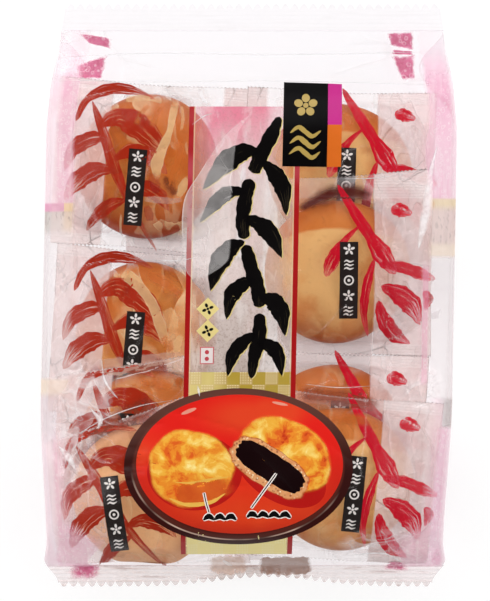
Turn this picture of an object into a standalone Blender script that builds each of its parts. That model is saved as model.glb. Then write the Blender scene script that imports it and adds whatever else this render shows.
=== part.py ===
"""A sealed, side-gusseted bag of bean paste pies, lying on its back with the front panel up.

The solid is the outer shape of the filled bag: the body that swells over two columns of wrapped
pies, the gusset creases down both sides, the flat header with its tucked corners, and the ribbed
end seals with zigzag-cut edges.  +X is the width, +Y runs towards the header, +Z is up, and the
origin is the middle of the bag's footprint on the table.  Metres throughout.
"""

import math

import bmesh
import bpy
import numpy as np

# Driving dimensions.
LENGTH = 0.245                # tooth tip to tooth tip
BODY_WIDTH = 0.177            # across the filled body, before the gussets are creased
SEAL_WIDTH = 0.157            # across each end seal
HEAD_THICKNESS = 0.0325       # filled body at its header end, before the pies press through
FOOT_THICKNESS = 0.0375       # and at its foot, where the pies lie two deep
SEAL_THICKNESS = 0.0010
BOTTOM_SEAL_LENGTH = 0.0085
TOP_SEAL_LENGTH = 0.0110

# The flattened underside, and how high the end seals stand over the table.
UNDERSIDE_PRESS = 0.0016
BOTTOM_SEAL_HEIGHT = 0.0085
TOP_SEAL_HEIGHT = 0.0060

# How far from each seal the bag has swollen to its full thickness.
BOTTOM_SWELL = 0.021
TOP_SWELL = 0.052

# The gusset crease: shallow along the body, tucked in towards the seals.
CREASE_DEPTH = 0.0032
TUCK_DEPTH = 0.0125
CREASE_SPREAD = 0.42          # share of the half thickness that the crease takes in

# Crimp ribs across the end seals, and the zigzag cut.
RIB_COUNT = 3
RIB_HEIGHT = 0.00035
TOOTH_PITCH = 0.0039
TOOTH_DEPTH = 0.0024

# Mesh fineness.
PANEL_SEGMENTS = 24           # across the front, and again across the back
FLANK_SEGMENTS = 10           # up each side
RING_POINTS = 2 * (PANEL_SEGMENTS + FLANK_SEGMENTS)
BODY_STATIONS = 42
BODY_SQUARENESS = 3.0         # exponent of the rounded section, along the body
END_SQUARENESS = 9.0          # and towards the seals, where both panels keep their full width

# Pies that press against the front panel: across, along, and how far each one lifts the film.
COLUMN_X = 0.0405
LEFT_ROWS = ((0.0562, 0.0018), (-0.0156, 0.0010), (-0.0845, 0.0036))
RIGHT_ROWS = ((0.0528, 0.0006), (0.0110, 0.0036), (-0.0765, 0.0036))
LIFT_REACH = 0.043            # the taut film spreads each lift well past the pie's edge

BOTTOM_SEAL_Y = -LENGTH / 2 + BOTTOM_SEAL_LENGTH
TOP_SEAL_Y = LENGTH / 2 - TOP_SEAL_LENGTH


def clear_scene():
    for obj in list(bpy.data.objects):
        bpy.data.objects.remove(obj)


def ramp(low, high, value):
    """0 below low, 1 above high, and a smooth S between them."""
    t = min(1.0, max(0.0, (value - low) / (high - low)))
    return t * t * (3 - 2 * t)


def swell(y):
    """0 at the end seals and 1 where the bag is full."""
    from_bottom = min(1.0, max(0.0, (y - BOTTOM_SEAL_Y) / BOTTOM_SWELL))
    from_top = min(1.0, max(0.0, (TOP_SEAL_Y - y) / TOP_SWELL))
    round_end = math.sqrt(1 - (1 - from_bottom) ** 2)
    wedge_end = math.sin(math.pi / 2 * from_top)
    return round_end * wedge_end


def half_width(y):
    """The bag narrows slowly into the header and quickly into the bottom seal."""
    narrowing = (BODY_WIDTH - SEAL_WIDTH) / 2
    header = ramp(0.070, 0.128, y)
    foot = 0.35 * ramp(-0.040, -0.114, y) + 0.65 * ramp(-0.110, -0.121, y)
    return BODY_WIDTH / 2 - narrowing * (header + foot)


def lean(y):
    """The foot of the bag stands a little to the left of its header."""
    return 0.0016 * math.sin(math.pi / 2 * y / (LENGTH / 2))


def half_thickness(y):
    to_head = ramp(-0.060, 0.060, y)
    filled = FOOT_THICKNESS + (HEAD_THICKNESS - FOOT_THICKNESS) * to_head
    return SEAL_THICKNESS / 2 + (filled - SEAL_THICKNESS) / 2 * swell(y)


def middle_height(y):
    """Height of the section's middle: the seals' own height at the ends, the table's in between."""
    resting = half_thickness(y) - UNDERSIDE_PRESS
    near_bottom = 1 - ramp(BOTTOM_SEAL_Y, BOTTOM_SEAL_Y + 0.016, y)
    near_top = ramp(TOP_SEAL_Y - 0.030, TOP_SEAL_Y, y)
    height = resting + (BOTTOM_SEAL_HEIGHT - resting) * near_bottom
    return height + (TOP_SEAL_HEIGHT - height) * near_top


def crease(y):
    """How far the gusset is pushed in at mid height."""
    opened = swell(y)
    tucked = 4 * opened * (1 - opened)
    return CREASE_DEPTH * opened + TUCK_DEPTH * tucked ** 2 * (0.35 if y < 0 else 1.0)


def pie_lift(x, y):
    """How far the pies under the film raise the front panel at a point."""
    total = 0.0
    for side, rows in ((-1, LEFT_ROWS), (1, RIGHT_ROWS)):
        for row_y, lift in rows:
            away = math.hypot(x - side * COLUMN_X, y - row_y) / LIFT_REACH
            total += lift * (1 - ramp(0.2, 1.0, away))
    return total


def rib(y):
    """Crimp ribs, only on the end seals."""
    if y < BOTTOM_SEAL_Y:
        along = (BOTTOM_SEAL_Y - y) / BOTTOM_SEAL_LENGTH
    elif y > TOP_SEAL_Y:
        along = (y - TOP_SEAL_Y) / TOP_SEAL_LENGTH
    else:
        return 0.0
    return RIB_HEIGHT * math.sin(math.pi * RIB_COUNT * along) ** 2


def rounded_box(w, h, square):
    """A rounded box as (x, z) points, turning from +X through +Z: panels even in x, flanks in z."""
    corner = 0.5 ** (1 / square)
    panel = corner * np.linspace(1, -1, PANEL_SEGMENTS, endpoint=False)
    flank = corner * np.linspace(-1, 1, FLANK_SEGMENTS, endpoint=False)
    panel_rise = (1 - np.abs(panel) ** square) ** (1 / square)
    flank_rise = (1 - np.abs(flank) ** square) ** (1 / square)
    x = np.concatenate([flank_rise, panel, -flank_rise, -panel])
    z = np.concatenate([flank, panel_rise, -flank, -panel_rise])
    return w * x, h * z


def section(y):
    """One closed ring of points: a rounded box, creased at both sides and pressed flat below."""
    w, h, middle = half_width(y), half_thickness(y) + rib(y), middle_height(y)
    opened = swell(y)
    squared = ramp(0.35, 1.0, opened)
    x, z = rounded_box(w, h, END_SQUARENESS + (BODY_SQUARENESS - END_SQUARENESS) * squared)
    push = crease(y) * np.exp(-((z / (CREASE_SPREAD * h)) ** 2)) * (np.abs(x) > 0.9 * w)
    ring = []
    for px, pz, inwards in zip(x, z, push):
        px -= math.copysign(inwards, px)
        top = max(0.0, pz / h)
        height = middle + pz + opened * top ** 2 * pie_lift(px, y)
        ring.append((px + lean(y), y, max(0.0, height)))
    return ring


def stations():
    """Where the rings stand: close together on the seals and the round ends, wider on the body."""
    ribs = 4 * RIB_COUNT  # four rings a rib show its crest and its root
    bottom = np.linspace(-LENGTH / 2, BOTTOM_SEAL_Y, ribs, endpoint=False)
    top = np.linspace(TOP_SEAL_Y, LENGTH / 2, ribs + 1)
    ease = np.linspace(0, 1, BODY_STATIONS, endpoint=False)
    ease = ease - 0.75 * np.sin(2 * math.pi * ease) / (2 * math.pi)
    body = BOTTOM_SEAL_Y + (TOP_SEAL_Y - BOTTOM_SEAL_Y) * ease
    return [*bottom, *body, *top]


def centre_on_footprint(bm):
    """The middle of the width comes to x = 0."""
    across = [v.co.x for v in bm.verts]
    shift = (min(across) + max(across)) / 2
    for v in bm.verts:
        v.co.x -= shift


def merge_underside(bm):
    """The many small faces that lie on the table become one flat face."""
    flat = [f for f in bm.faces if all(v.co.z < 1e-7 for v in f.verts)]
    bmesh.ops.dissolve_faces(bm, faces=flat, use_verts=False)


def bag_mesh():
    """Rings joined in order, with a cap at each end."""
    bm = bmesh.new()
    rings = [[bm.verts.new(point) for point in section(y)] for y in stations()]
    for near, far in zip(rings, rings[1:]):
        for i in range(RING_POINTS):
            j = (i + 1) % RING_POINTS
            bm.faces.new((near[i], near[j], far[j], far[i]))
    bm.faces.new(list(reversed(rings[0])))
    bm.faces.new(rings[-1])
    bmesh.ops.recalc_face_normals(bm, faces=bm.faces)
    centre_on_footprint(bm)
    merge_underside(bm)
    mesh = bpy.data.meshes.new("sealed_bag")
    bm.to_mesh(mesh)
    bm.free()
    return mesh


def zigzag_cutter(name, end):
    """A slab beyond one end of the bag whose inner side is the row of teeth; end is -1 or 1."""
    half = SEAL_WIDTH / 2 + 0.010
    teeth = 2 * round(half / TOOTH_PITCH) * 2
    tip = end * (LENGTH / 2 + 0.0001)
    root = end * (LENGTH / 2 - TOOTH_DEPTH)
    outside = end * (LENGTH / 2 + 0.006)
    outline = []
    for i in range(teeth + 1):
        x = -half + 2 * half * i / teeth
        outline.append((x, tip if i % 2 else root))
    outline += [(half, outside), (-half, outside)]

    bm = bmesh.new()
    below, above = -0.010, 0.030
    base = bm.faces.new([bm.verts.new((x, y, below)) for x, y in outline])
    raised = bmesh.ops.extrude_face_region(bm, geom=[base])
    for item in raised["geom"]:
        if isinstance(item, bmesh.types.BMVert):
            item.co.z = above
    bmesh.ops.recalc_face_normals(bm, faces=bm.faces)
    mesh = bpy.data.meshes.new(name)
    bm.to_mesh(mesh)
    bm.free()
    cutter = bpy.data.objects.new(name, mesh)
    bpy.context.scene.collection.objects.link(cutter)
    cutter.hide_render = True
    cutter.display_type = "WIRE"
    return cutter


def film_material():
    """Clear glossy film over golden pies, as one plain colour."""
    material = bpy.data.materials.new("clear_film")
    material.use_nodes = True
    shader = material.node_tree.nodes["Principled BSDF"]
    shader.inputs["Base Color"].default_value = (0.86, 0.62, 0.52, 1)
    shader.inputs["Roughness"].default_value = 0.18
    shader.inputs["Metallic"].default_value = 0.0
    return material


def build_bag():
    bag = bpy.data.objects.new("sealed_bag", bag_mesh())
    bpy.context.scene.collection.objects.link(bag)
    bag.data.materials.append(film_material())
    for name, end in (("bottom_teeth", -1), ("top_teeth", 1)):
        cut = bag.modifiers.new(name, "BOOLEAN")
        cut.operation = "DIFFERENCE"
        cut.object = zigzag_cutter(name, end)
    bag.data.shade_smooth()
    bag.data.set_sharp_from_angle(angle=math.radians(40))
    return bag


def main():
    clear_scene()
    build_bag()


main()
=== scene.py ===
"""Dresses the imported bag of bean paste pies: clear film, printed front, wrapped pies and a studio."""

import math

import bpy
import numpy as np
from bpy.props import FloatProperty, FloatVectorProperty, PointerProperty
from mathutils import Matrix, Vector
from mathutils.bvhtree import BVHTree


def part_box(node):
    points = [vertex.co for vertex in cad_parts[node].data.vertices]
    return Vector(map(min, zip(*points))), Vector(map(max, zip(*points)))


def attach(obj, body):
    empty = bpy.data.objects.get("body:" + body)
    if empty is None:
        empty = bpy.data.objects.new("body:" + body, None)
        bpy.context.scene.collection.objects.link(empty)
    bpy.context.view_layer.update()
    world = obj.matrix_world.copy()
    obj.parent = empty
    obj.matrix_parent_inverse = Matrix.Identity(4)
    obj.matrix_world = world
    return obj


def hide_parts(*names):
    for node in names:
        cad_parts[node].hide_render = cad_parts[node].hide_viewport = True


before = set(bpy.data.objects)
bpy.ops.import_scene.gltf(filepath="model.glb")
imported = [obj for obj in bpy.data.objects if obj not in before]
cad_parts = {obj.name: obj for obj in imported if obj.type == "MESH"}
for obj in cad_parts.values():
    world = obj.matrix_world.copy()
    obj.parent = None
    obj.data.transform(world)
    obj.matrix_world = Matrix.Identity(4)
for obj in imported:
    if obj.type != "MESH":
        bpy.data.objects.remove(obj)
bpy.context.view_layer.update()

bl_info = {
    "name": "Bag of Bean Paste Pies",
    "version": (1, 0, 0),
    "blender": (4, 5, 0),
    "location": "View3D > Sidebar > Pie Bag",
    "description": "Builds a sealed clear bag of wrapped bean paste pies around its packed solid",
    "category": "Object",
}

BAG_NODE = "sealed_bag"
MM = 0.001

# The bag's own section, as its solid has it. Metres, +X across, +Y to the header, +Z up.
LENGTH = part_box(BAG_NODE)[1].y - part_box(BAG_NODE)[0].y
BODY_WIDTH = 0.177
SEAL_WIDTH = 0.157
HEAD_THICKNESS = 0.0325
FOOT_THICKNESS = 0.0375
SEAL_THICKNESS = 0.001
BOTTOM_SEAL_Y = -LENGTH / 2 + 0.0085
TOP_SEAL_Y = LENGTH / 2 - 0.011
UNDERSIDE_PRESS = 0.0016
BOTTOM_SEAL_HEIGHT = 0.0085
TOP_SEAL_HEIGHT = 0.006
BOTTOM_SWELL = 0.021
TOP_SWELL = 0.052
CREASE_DEPTH = 0.0032
TUCK_DEPTH = 0.0125
CREASE_SPREAD = 0.42
BODY_SQUARENESS = 3.0
END_SQUARENESS = 9.0
COLUMN_X = 0.0405
LEFT_ROWS = ((0.0562, 0.0018), (-0.0156, 0.001), (-0.0845, 0.0036))
RIGHT_ROWS = ((0.0528, 0.0006), (0.011, 0.0036), (-0.0765, 0.0036))
LIFT_REACH = 0.043
RIB_COUNT = 3
TOOTH_PITCH = 0.0039
TOOTH_DEPTH = 0.0024

# The film lies this far inside the solid's surface, which leaves room for the print on it.
FILM_INSET = 0.00035
PANEL_SEGMENTS = 150
FLANK_SEGMENTS = 26
FILM_STATIONS = 205

# The printed band leans: its middle moves this far to the side for each metre along the bag.
BAND_LEAN = 0.0195
PRINT_SCALE = 0.9732
PRINT_SHIFT = (-0.00043, -0.00128)
# Rays that look for a surface start this far above or below it.
RAY_TOP = 0.2
# Prints on the back stay at least this far above the ground.
GROUND_GAP = 0.00001

# How far each layer of print, painted shade, painted light on folds or painted crease glints lies over the
# surface it is laid on.
LIFT = {
    "band": 0.00008, "field": 0.00012, "outline": 0.00016, "ink": 0.0002, "top": 0.00025, "dot": 0.00029,
    "veil": 0.00032, "crease": 0.0003, "gusset": 0.00009, "foot_tuck": 0.00008, "gather": 0.00014,
    "shade": 0.00007, "motif": 0.00012, "fold": 0.00019, "label": 0.00026, "label_marks": 0.00034,
    "back_field": 0.00012, "back_seam": 0.00022,
}
# The pictured dish's layers: the first one's lift less one step, and the step between two.
DISH_LIFT = 0.00016
DISH_STEP = 0.000026


def paint(red, green, blue):
    """A colour named by its 0 to 255 screen values, as linear light."""
    return tuple(
        c / 12.92 if c <= 0.04045 else ((c + 0.055) / 1.055) ** 2.4
        for c in (red / 255, green / 255, blue / 255)
    )


# ---------------------------------------------------------------- settings


def size(name, value, words):
    return FloatProperty(name=name, default=value, unit="LENGTH", precision=5, description=words)


def share(name, value, words):
    return FloatProperty(name=name, default=value, min=0.0, max=1.0, subtype="FACTOR", description=words)


def power(name, value, words):
    return FloatProperty(name=name, default=value, min=0.0, unit="POWER", description=words)


def colour(name, rgb, words):
    return FloatVectorProperty(
        name=name, default=paint(*rgb), size=3, min=0.0, max=1.0, subtype="COLOR", description=words
    )


class PieSettings(bpy.types.PropertyGroup):
    """The pies: round, low and a little uneven."""

    radius: size("Pie radius", 0.03, "Radius of a pie at its widest")
    height: size("Pie height", 0.0195, "Height of a pie at its middle")
    rim: size("Rim height", 0.008, "Height of the widest line above the underside")
    light: colour("Light crust", (236, 172, 92), "Crust where it baked least")
    golden: colour("Golden crust", (210, 112, 38), "Crust over most of the top")
    # Brown also carries the painted shade on each pie's near side.
    brown: colour("Brown crust", (156, 56, 16), "Crust along the shoulder and the underside")


class WrapperSettings(bpy.types.PropertyGroup):
    """The pillow wrapper round each pie."""

    length: size("Wrapper length", 0.0796, "Across the bag, between the side folds")
    breadth: size("Wrapper breadth", 0.0712, "Along the bag, from one end seal's teeth to the other's")
    end_seal: size("End seal", 0.005, "Breadth of the crimped seal at each end")
    window: size("Window width", 0.0348, "Width of the clear stripe over the pie")
    puff: size("Puff", 0.013, "How high the wrapper's top stands over its seam")
    frost: colour("Frosted print", (230, 203, 199), "The milky print on both ends")
    frost_cover: share("Frost cover", 0.56, "How much of what lies under the frosted print is hidden")
    label: colour("Label", (34, 25, 22), "The dark strip on the window")
    label_marks: colour("Label marks", (238, 232, 226), "Small motifs on the strip")
    leaf_red: colour("Leaf spray red", (166, 40, 14), "Brush strokes on the left column's wrappers")
    sprig_red: colour("Sprig red", (200, 14, 38), "Brush strokes on the right column's wrappers")


class FilmSettings(bpy.types.PropertyGroup):
    """The outer bag's clear film."""

    haze: share("Haze", 0.006, "How milky the clear film is")
    through: colour("Film tint", (252, 251, 252), "Colour of light that passed one layer")
    roughness: share("Gloss roughness", 0.16, "Roughness of the film's shine")
    side_pink: colour("Side pink", (236, 172, 198), "The pink field down each gusset")
    tuck_pink: colour("Tuck pink", (204, 74, 122), "The same field where the film lies double")


class PrintSettings(bpy.types.PropertyGroup):
    """The inks of the front print."""

    band_pink: colour("Band pink", (218, 84, 122), "Head of the paper-like band")
    band_paper: colour("Band paper", (226, 214, 210), "Middle of the paper-like band")
    border: colour("Border red", (164, 18, 20), "Lines down both sides of the band")
    cream: colour("Cream", (236, 204, 164), "Fine line beside each border")
    straw: colour("Straw", (232, 212, 140), "Yellow field at the foot of the band")
    old_gold: colour("Old gold", (178, 150, 52), "Darker gold in the checked field")
    ink: colour("Ink", (8, 6, 7), "Brush ornament and title panel")
    leaf_gold: colour("Leaf gold", (196, 166, 88), "Gold ornament and outlines")
    magenta: colour("Magenta", (204, 44, 140), "Upper flag beside the panel")
    orange: colour("Orange", (224, 110, 34), "Lower flag beside the panel")
    dish_red: colour("Dish red", (228, 32, 24), "Inside of the pictured dish")
    dish_rim: colour("Dish rim", (84, 34, 26), "Rim of the pictured dish")
    filling: colour("Pictured filling", (26, 6, 8), "Bean paste of the pictured pies")


class StudioSettings(bpy.types.PropertyGroup):
    """Camera and lights."""

    lens: FloatProperty(name="Lens", default=180.0, min=20.0, description="Focal length in millimetres")
    view_height: size("View height", 0.2501, "Height of the picture, at the bag's mid height")
    key_power: power("Key light", 5.2, "Left softbox")
    fill_power: power("Fill light", 4.2, "Right softbox")
    back_power: power("Back light", 2.8, "Header softbox")
    floor_glow: share("Floor glow", 0.66, "Light the floor gives off itself")


SETTINGS = {
    "bag_pie": PieSettings,
    "bag_wrapper": WrapperSettings,
    "bag_film": FilmSettings,
    "bag_print": PrintSettings,
    "bag_studio": StudioSettings,
}


# ---------------------------------------------------------------- materials


class Wire:
    """A socket whose sums and products are Math nodes."""

    def __init__(self, finish, socket):
        self.finish = finish
        self.socket = socket

    def out(self, name):
        """Another output of the same node."""
        return Wire(self.finish, self.socket.node.outputs[name])

    def __add__(self, other):
        return self.finish.maths("ADD", self, other)

    __radd__ = __add__

    def __sub__(self, other):
        return self.finish.maths("SUBTRACT", self, other)

    def __rsub__(self, other):
        return self.finish.maths("SUBTRACT", other, self)

    def __mul__(self, other):
        return self.finish.maths("MULTIPLY", self, other)

    __rmul__ = __mul__

    def __truediv__(self, other):
        return self.finish.maths("DIVIDE", self, other)

    def __pow__(self, other):
        return self.finish.maths("POWER", self, other)


# Which sockets of a Mix node hold its colours: several share one name.
COLOUR_A, COLOUR_B, COLOUR_RESULT = 6, 7, 2


class Finish:
    """A material while its nodes are laid."""

    def __init__(self, name):
        self.material = bpy.data.materials.new(name)
        self.material.use_nodes = True
        self.tree = self.material.node_tree
        self.tree.nodes.clear()
        self.place = self.node("ShaderNodeTexCoord", out="Object")

    def node(self, kind, settings=None, inputs=None, out=0):
        """A new node with these settings and inputs, as a wire from one of its outputs."""
        made = self.tree.nodes.new(kind)
        for key, value in (settings or {}).items():
            setattr(made, key, value)
        for key, value in (inputs or {}).items():
            self.feed(made.inputs[key], value)
        return Wire(self, made.outputs[out])

    def feed(self, socket, value):
        """A wire is linked to the socket, and a number or colour is set on it."""
        if isinstance(value, Wire):
            self.tree.links.new(value.socket, socket)
        elif socket.type == "RGBA":
            socket.default_value = (*value[:3], 1.0)
        else:
            socket.default_value = value

    def maths(self, operation, *values, clamp=False):
        return self.node(
            "ShaderNodeMath", {"operation": operation, "use_clamp": clamp}, dict(enumerate(values))
        )

    def least(self, a, b):
        return self.maths("MINIMUM", a, b)

    def most(self, a, b):
        return self.maths("MAXIMUM", a, b)

    def limit(self, value):
        """Kept between 0 and 1."""
        return self.maths("ADD", value, 0.0, clamp=True)

    def step(self, low, high, value):
        """0 below low, 1 above high, and a smooth S between them."""
        return self.node(
            "ShaderNodeMapRange",
            {"interpolation_type": "SMOOTHSTEP"},
            {"Value": value, "From Min": low, "From Max": high, "To Min": 0.0, "To Max": 1.0},
        )

    def fall(self, low, high, value):
        """1 below low, 0 above high, and a smooth S between them."""
        return 1.0 - self.step(low, high, value)

    def mix(self, factor, first, second):
        """Two colours mixed."""
        inputs = {"Factor": factor, COLOUR_A: first, COLOUR_B: second}
        return self.node("ShaderNodeMix", {"data_type": "RGBA"}, inputs, out=COLOUR_RESULT)

    def parts(self, vector):
        """A vector's x, y and z wires."""
        x = self.node("ShaderNodeSeparateXYZ", None, {"Vector": vector})
        return x, x.out("Y"), x.out("Z")

    def pattern(self):
        """The piece's own coordinates, as (x, y, z) wires."""
        return self.parts(self.node("ShaderNodeAttribute", {"attribute_name": "pattern"}, out="Vector"))

    def along(self):
        """Object coordinates, as (x, y, z) wires."""
        return self.parts(self.place)

    def stretch(self, vector, by):
        return self.node("ShaderNodeVectorMath", {"operation": "MULTIPLY"}, {0: vector, 1: by})

    def noise(self, scale, detail=3.0, roughness=0.55, vector=None):
        inputs = {"Vector": vector or self.place, "Scale": scale, "Detail": detail, "Roughness": roughness}
        return self.node("ShaderNodeTexNoise", None, inputs)

    def cells(self, scale, feature="F1", vector=None, out="Distance"):
        """Voronoi cells: the distance to the nearest point or edge, or each cell's own colour."""
        return self.node(
            "ShaderNodeTexVoronoi",
            {"feature": feature},
            {"Vector": vector or self.place, "Scale": scale},
            out=out,
        )

    def bent(self, scale, amount, vector=None):
        """Coordinates pushed about by a noise, so that a pattern's lines aren't straight."""
        vector = vector or self.place
        push = self.node(
            "ShaderNodeVectorMath",
            {"operation": "SUBTRACT"},
            {0: self.noise(scale, 2.0, vector=vector).out("Color"), 1: (0.5, 0.5, 0.5)},
        )
        push = self.stretch(push, (amount, amount, amount))
        return self.node("ShaderNodeVectorMath", {"operation": "ADD"}, {0: vector, 1: push})

    def bump(self, height, distance):
        return self.node("ShaderNodeBump", None, {"Height": height, "Distance": distance}, out="Normal")

    def waves(self):
        """The film's own soft waves, under its prints."""
        return self.bump(self.noise(38.0, 2.0), 0.0006)

    def shader(self, **inputs):
        """A Principled shader; an underscore in a name stands for a space."""
        named = {key.replace("_", " "): value for key, value in inputs.items()}
        return self.node("ShaderNodeBsdfPrincipled", None, named)

    def solid(self, **inputs):
        return self.done(self.shader(**inputs))

    def film(self, cover, through=(1.0, 1.0, 1.0), **inputs):
        """A see-through skin: cover is how much of what lies behind is hidden, through tints the rest."""
        clear = self.node("ShaderNodeBsdfTransparent", None, {"Color": through})
        skin = self.shader(**inputs)
        return self.done(self.node("ShaderNodeMixShader", None, {0: cover, 1: clear, 2: skin}))

    def inked(self, tint, roughness=0.34, cover=None):
        """Printed ink of a finished colour, solid or as a film that covers part of what lies behind."""
        inputs = {"Base_Color": tint, "Roughness": roughness, "Normal": self.waves()}
        inputs["Specular_IOR_Level"] = 0.15
        return self.solid(**inputs) if cover is None else self.film(cover, **inputs)

    def done(self, surface):
        output = self.tree.nodes.new("ShaderNodeOutputMaterial")
        self.tree.links.new(surface.socket, output.inputs["Surface"])
        return self.material


def creased(finish, scale, width, vector=None):
    """Fine crease lines: 1 on a line, 0 off it, and only here and there."""
    vector = finish.bent(scale * 0.6, 0.01, vector)
    edge = finish.cells(scale, "DISTANCE_TO_EDGE", vector)
    there = finish.step(0.5, 0.66, finish.noise(scale * 0.9, 1.0, vector=vector))
    return finish.fall(0.0, width, edge) * there


def gleam(finish):
    """The share of light that film mirrors, by the angle it is seen at."""
    return finish.node("ShaderNodeFresnel", None, {"IOR": 1.45})


# Where the film is crushed, and its crumples get painted white glints: middle x and y, and reach across and
# along, in metres.
CRUMPLES = (
    (-0.07, -0.054, 0.02, 0.03),
    (0.058, -0.104, 0.024, 0.01),
    (-0.074, 0.102, 0.01, 0.012),
    (0.072, -0.038, 0.01, 0.01),
)


def crushed(f):
    """1 in the middle of a crumple, 0 away from it."""
    x, y, _ = f.along()
    total = 0.0
    for cx, cy, across, up in CRUMPLES:
        right, high = (x - cx) / across, (y - cy) / up
        total = total + f.fall(0.3, 1.0, right * right + high * high)
    return f.limit(total)


def facets(f, scale, vector):
    """Flat facets between sharp edges: a random tone for each facet, and 1 on the edges."""
    tone = f.node("ShaderNodeSeparateXYZ", None, {"Vector": f.cells(scale, "F1", vector, "Color")})
    edge = f.fall(0.0, 0.045, f.cells(scale, "DISTANCE_TO_EDGE", vector))
    return tone, edge


def sheets(f, scale, vector, at=0.52, fade=0.1):
    """Folded sheets of film as a mask: each one has a sharp edge and fades out to the other side; laid in
    white, they are painted glints on the folds.
    """
    cloud = f.noise(scale, 2.0, 0.5, vector)
    return f.step(at, at + 0.006, cloud) * f.fall(at + 0.01, at + fade, cloud)


def clear_film(look):
    """Glossy clear film with a faint haze and slack waves, and painted highlights: white crease lines and
    white glints on a few crumples.
    """
    f = Finish("clear film")
    lines = creased(f, 26.0, 0.018)
    crush = crushed(f)
    slanted = f.stretch(f.bent(24.0, 0.03), (0.8, 1.5, 1.0))
    broad = sheets(f, 34.0, slanted) + sheets(f, 34.0, slanted, 0.44, 0.05) * 0.7
    small = sheets(f, 90.0, f.bent(50.0, 0.014, slanted)) * 0.6
    # Painted highlight: white glints on the crumples, added to the white crease lines.
    crumple_glints = (broad + small) * crush
    cover = f.limit(look.haze + lines * 0.1 + crumple_glints * 0.32 + gleam(f) * 0.16)
    waves = f.noise(38.0, 2.0) * 0.6 + lines * 0.8 + f.noise(140.0, 2.0) * 0.12 + crumple_glints * 0.12
    return f.film(
        cover,
        look.through,
        Base_Color=paint(250, 243, 244),
        Metallic=0.85 - crush * 0.85,
        Roughness=look.roughness,
        Normal=f.bump(waves, 0.0012),
    )


def seal_film(look):
    """Film pressed double in the end seals, milky along the crimp; the header's is almost clear."""
    f = Finish("pressed seal film")
    x, y, _ = f.along()
    crimp = f.maths("SINE", y * (2 * math.pi / 0.0017))
    grain = f.noise(260.0, 3.0)
    streak = f.noise(60.0, 3.0, vector=f.stretch(f.place, (1.0, 8.0, 1.0)))
    head = f.step(0.0, 0.01, y)
    tips = f.fall(-0.1205, -0.1185, y)
    bunch = f.fall(0.006, 0.016, f.maths("ABSOLUTE", x + 0.004)) * (1.0 - head)
    cover = 0.08 + grain * 0.16 + f.step(0.2, 1.0, crimp) * 0.08
    cover = cover + f.step(0.5, 0.7, streak) * 0.2 + tips * 0.1
    cover = (cover + bunch * 0.2) * (1.0 - head * 0.92) + gleam(f) * (0.3 - head * 0.25)
    lit = f.mix(grain, paint(232, 206, 200), paint(252, 244, 240))
    lit = f.mix(bunch * 0.6, lit, paint(176, 160, 148))
    dark = f.step(0.62, 0.68, streak) * (1.0 - head)
    return f.film(
        f.limit(cover),
        look.through,
        Base_Color=f.mix(dark * 0.6, lit, paint(168, 124, 112)),
        Metallic=0.2,
        Roughness=0.24,
        Normal=f.bump((crimp * 0.5 + grain * 0.4) * (1.0 - head * 0.8), 0.0003),
    )


def bubble_lace(f, vector, scale):
    """Rings and dots like small bubbles: 1 on a ring."""
    big = f.cells(scale, "F1", vector)
    small = f.cells(scale * 2.3, "F1", vector)
    ring = f.step(0.22, 0.28, big) * f.fall(0.34, 0.4, big)
    dot = f.fall(0.16, 0.24, small)
    return f.limit(ring + dot * 0.6)


# Where each gusset's stretches begin, from the header down: metres along the bag, and how softly.
SIDE_STRETCHES = {
    -1: {"strip": (0.0381, 0.0006), "flecked": (0.0346, 0.0006), "bare": (0.026, 0.003),
         "warm": (-0.0348, 0.001), "dull": (-0.0416, 0.002), "pink": (-0.0587, 0.006)},
    1: {"strip": (0.04, 0.0006), "flecked": (0.0362, 0.002), "warm": (0.0212, 0.0015),
        "bare": (0.0159, 0.001), "dull": (-0.0429, 0.001), "pink": (-0.055, 0.001)},
}
SIDE_REACH = {-1: 0.0142, 1: 0.0128}


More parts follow.
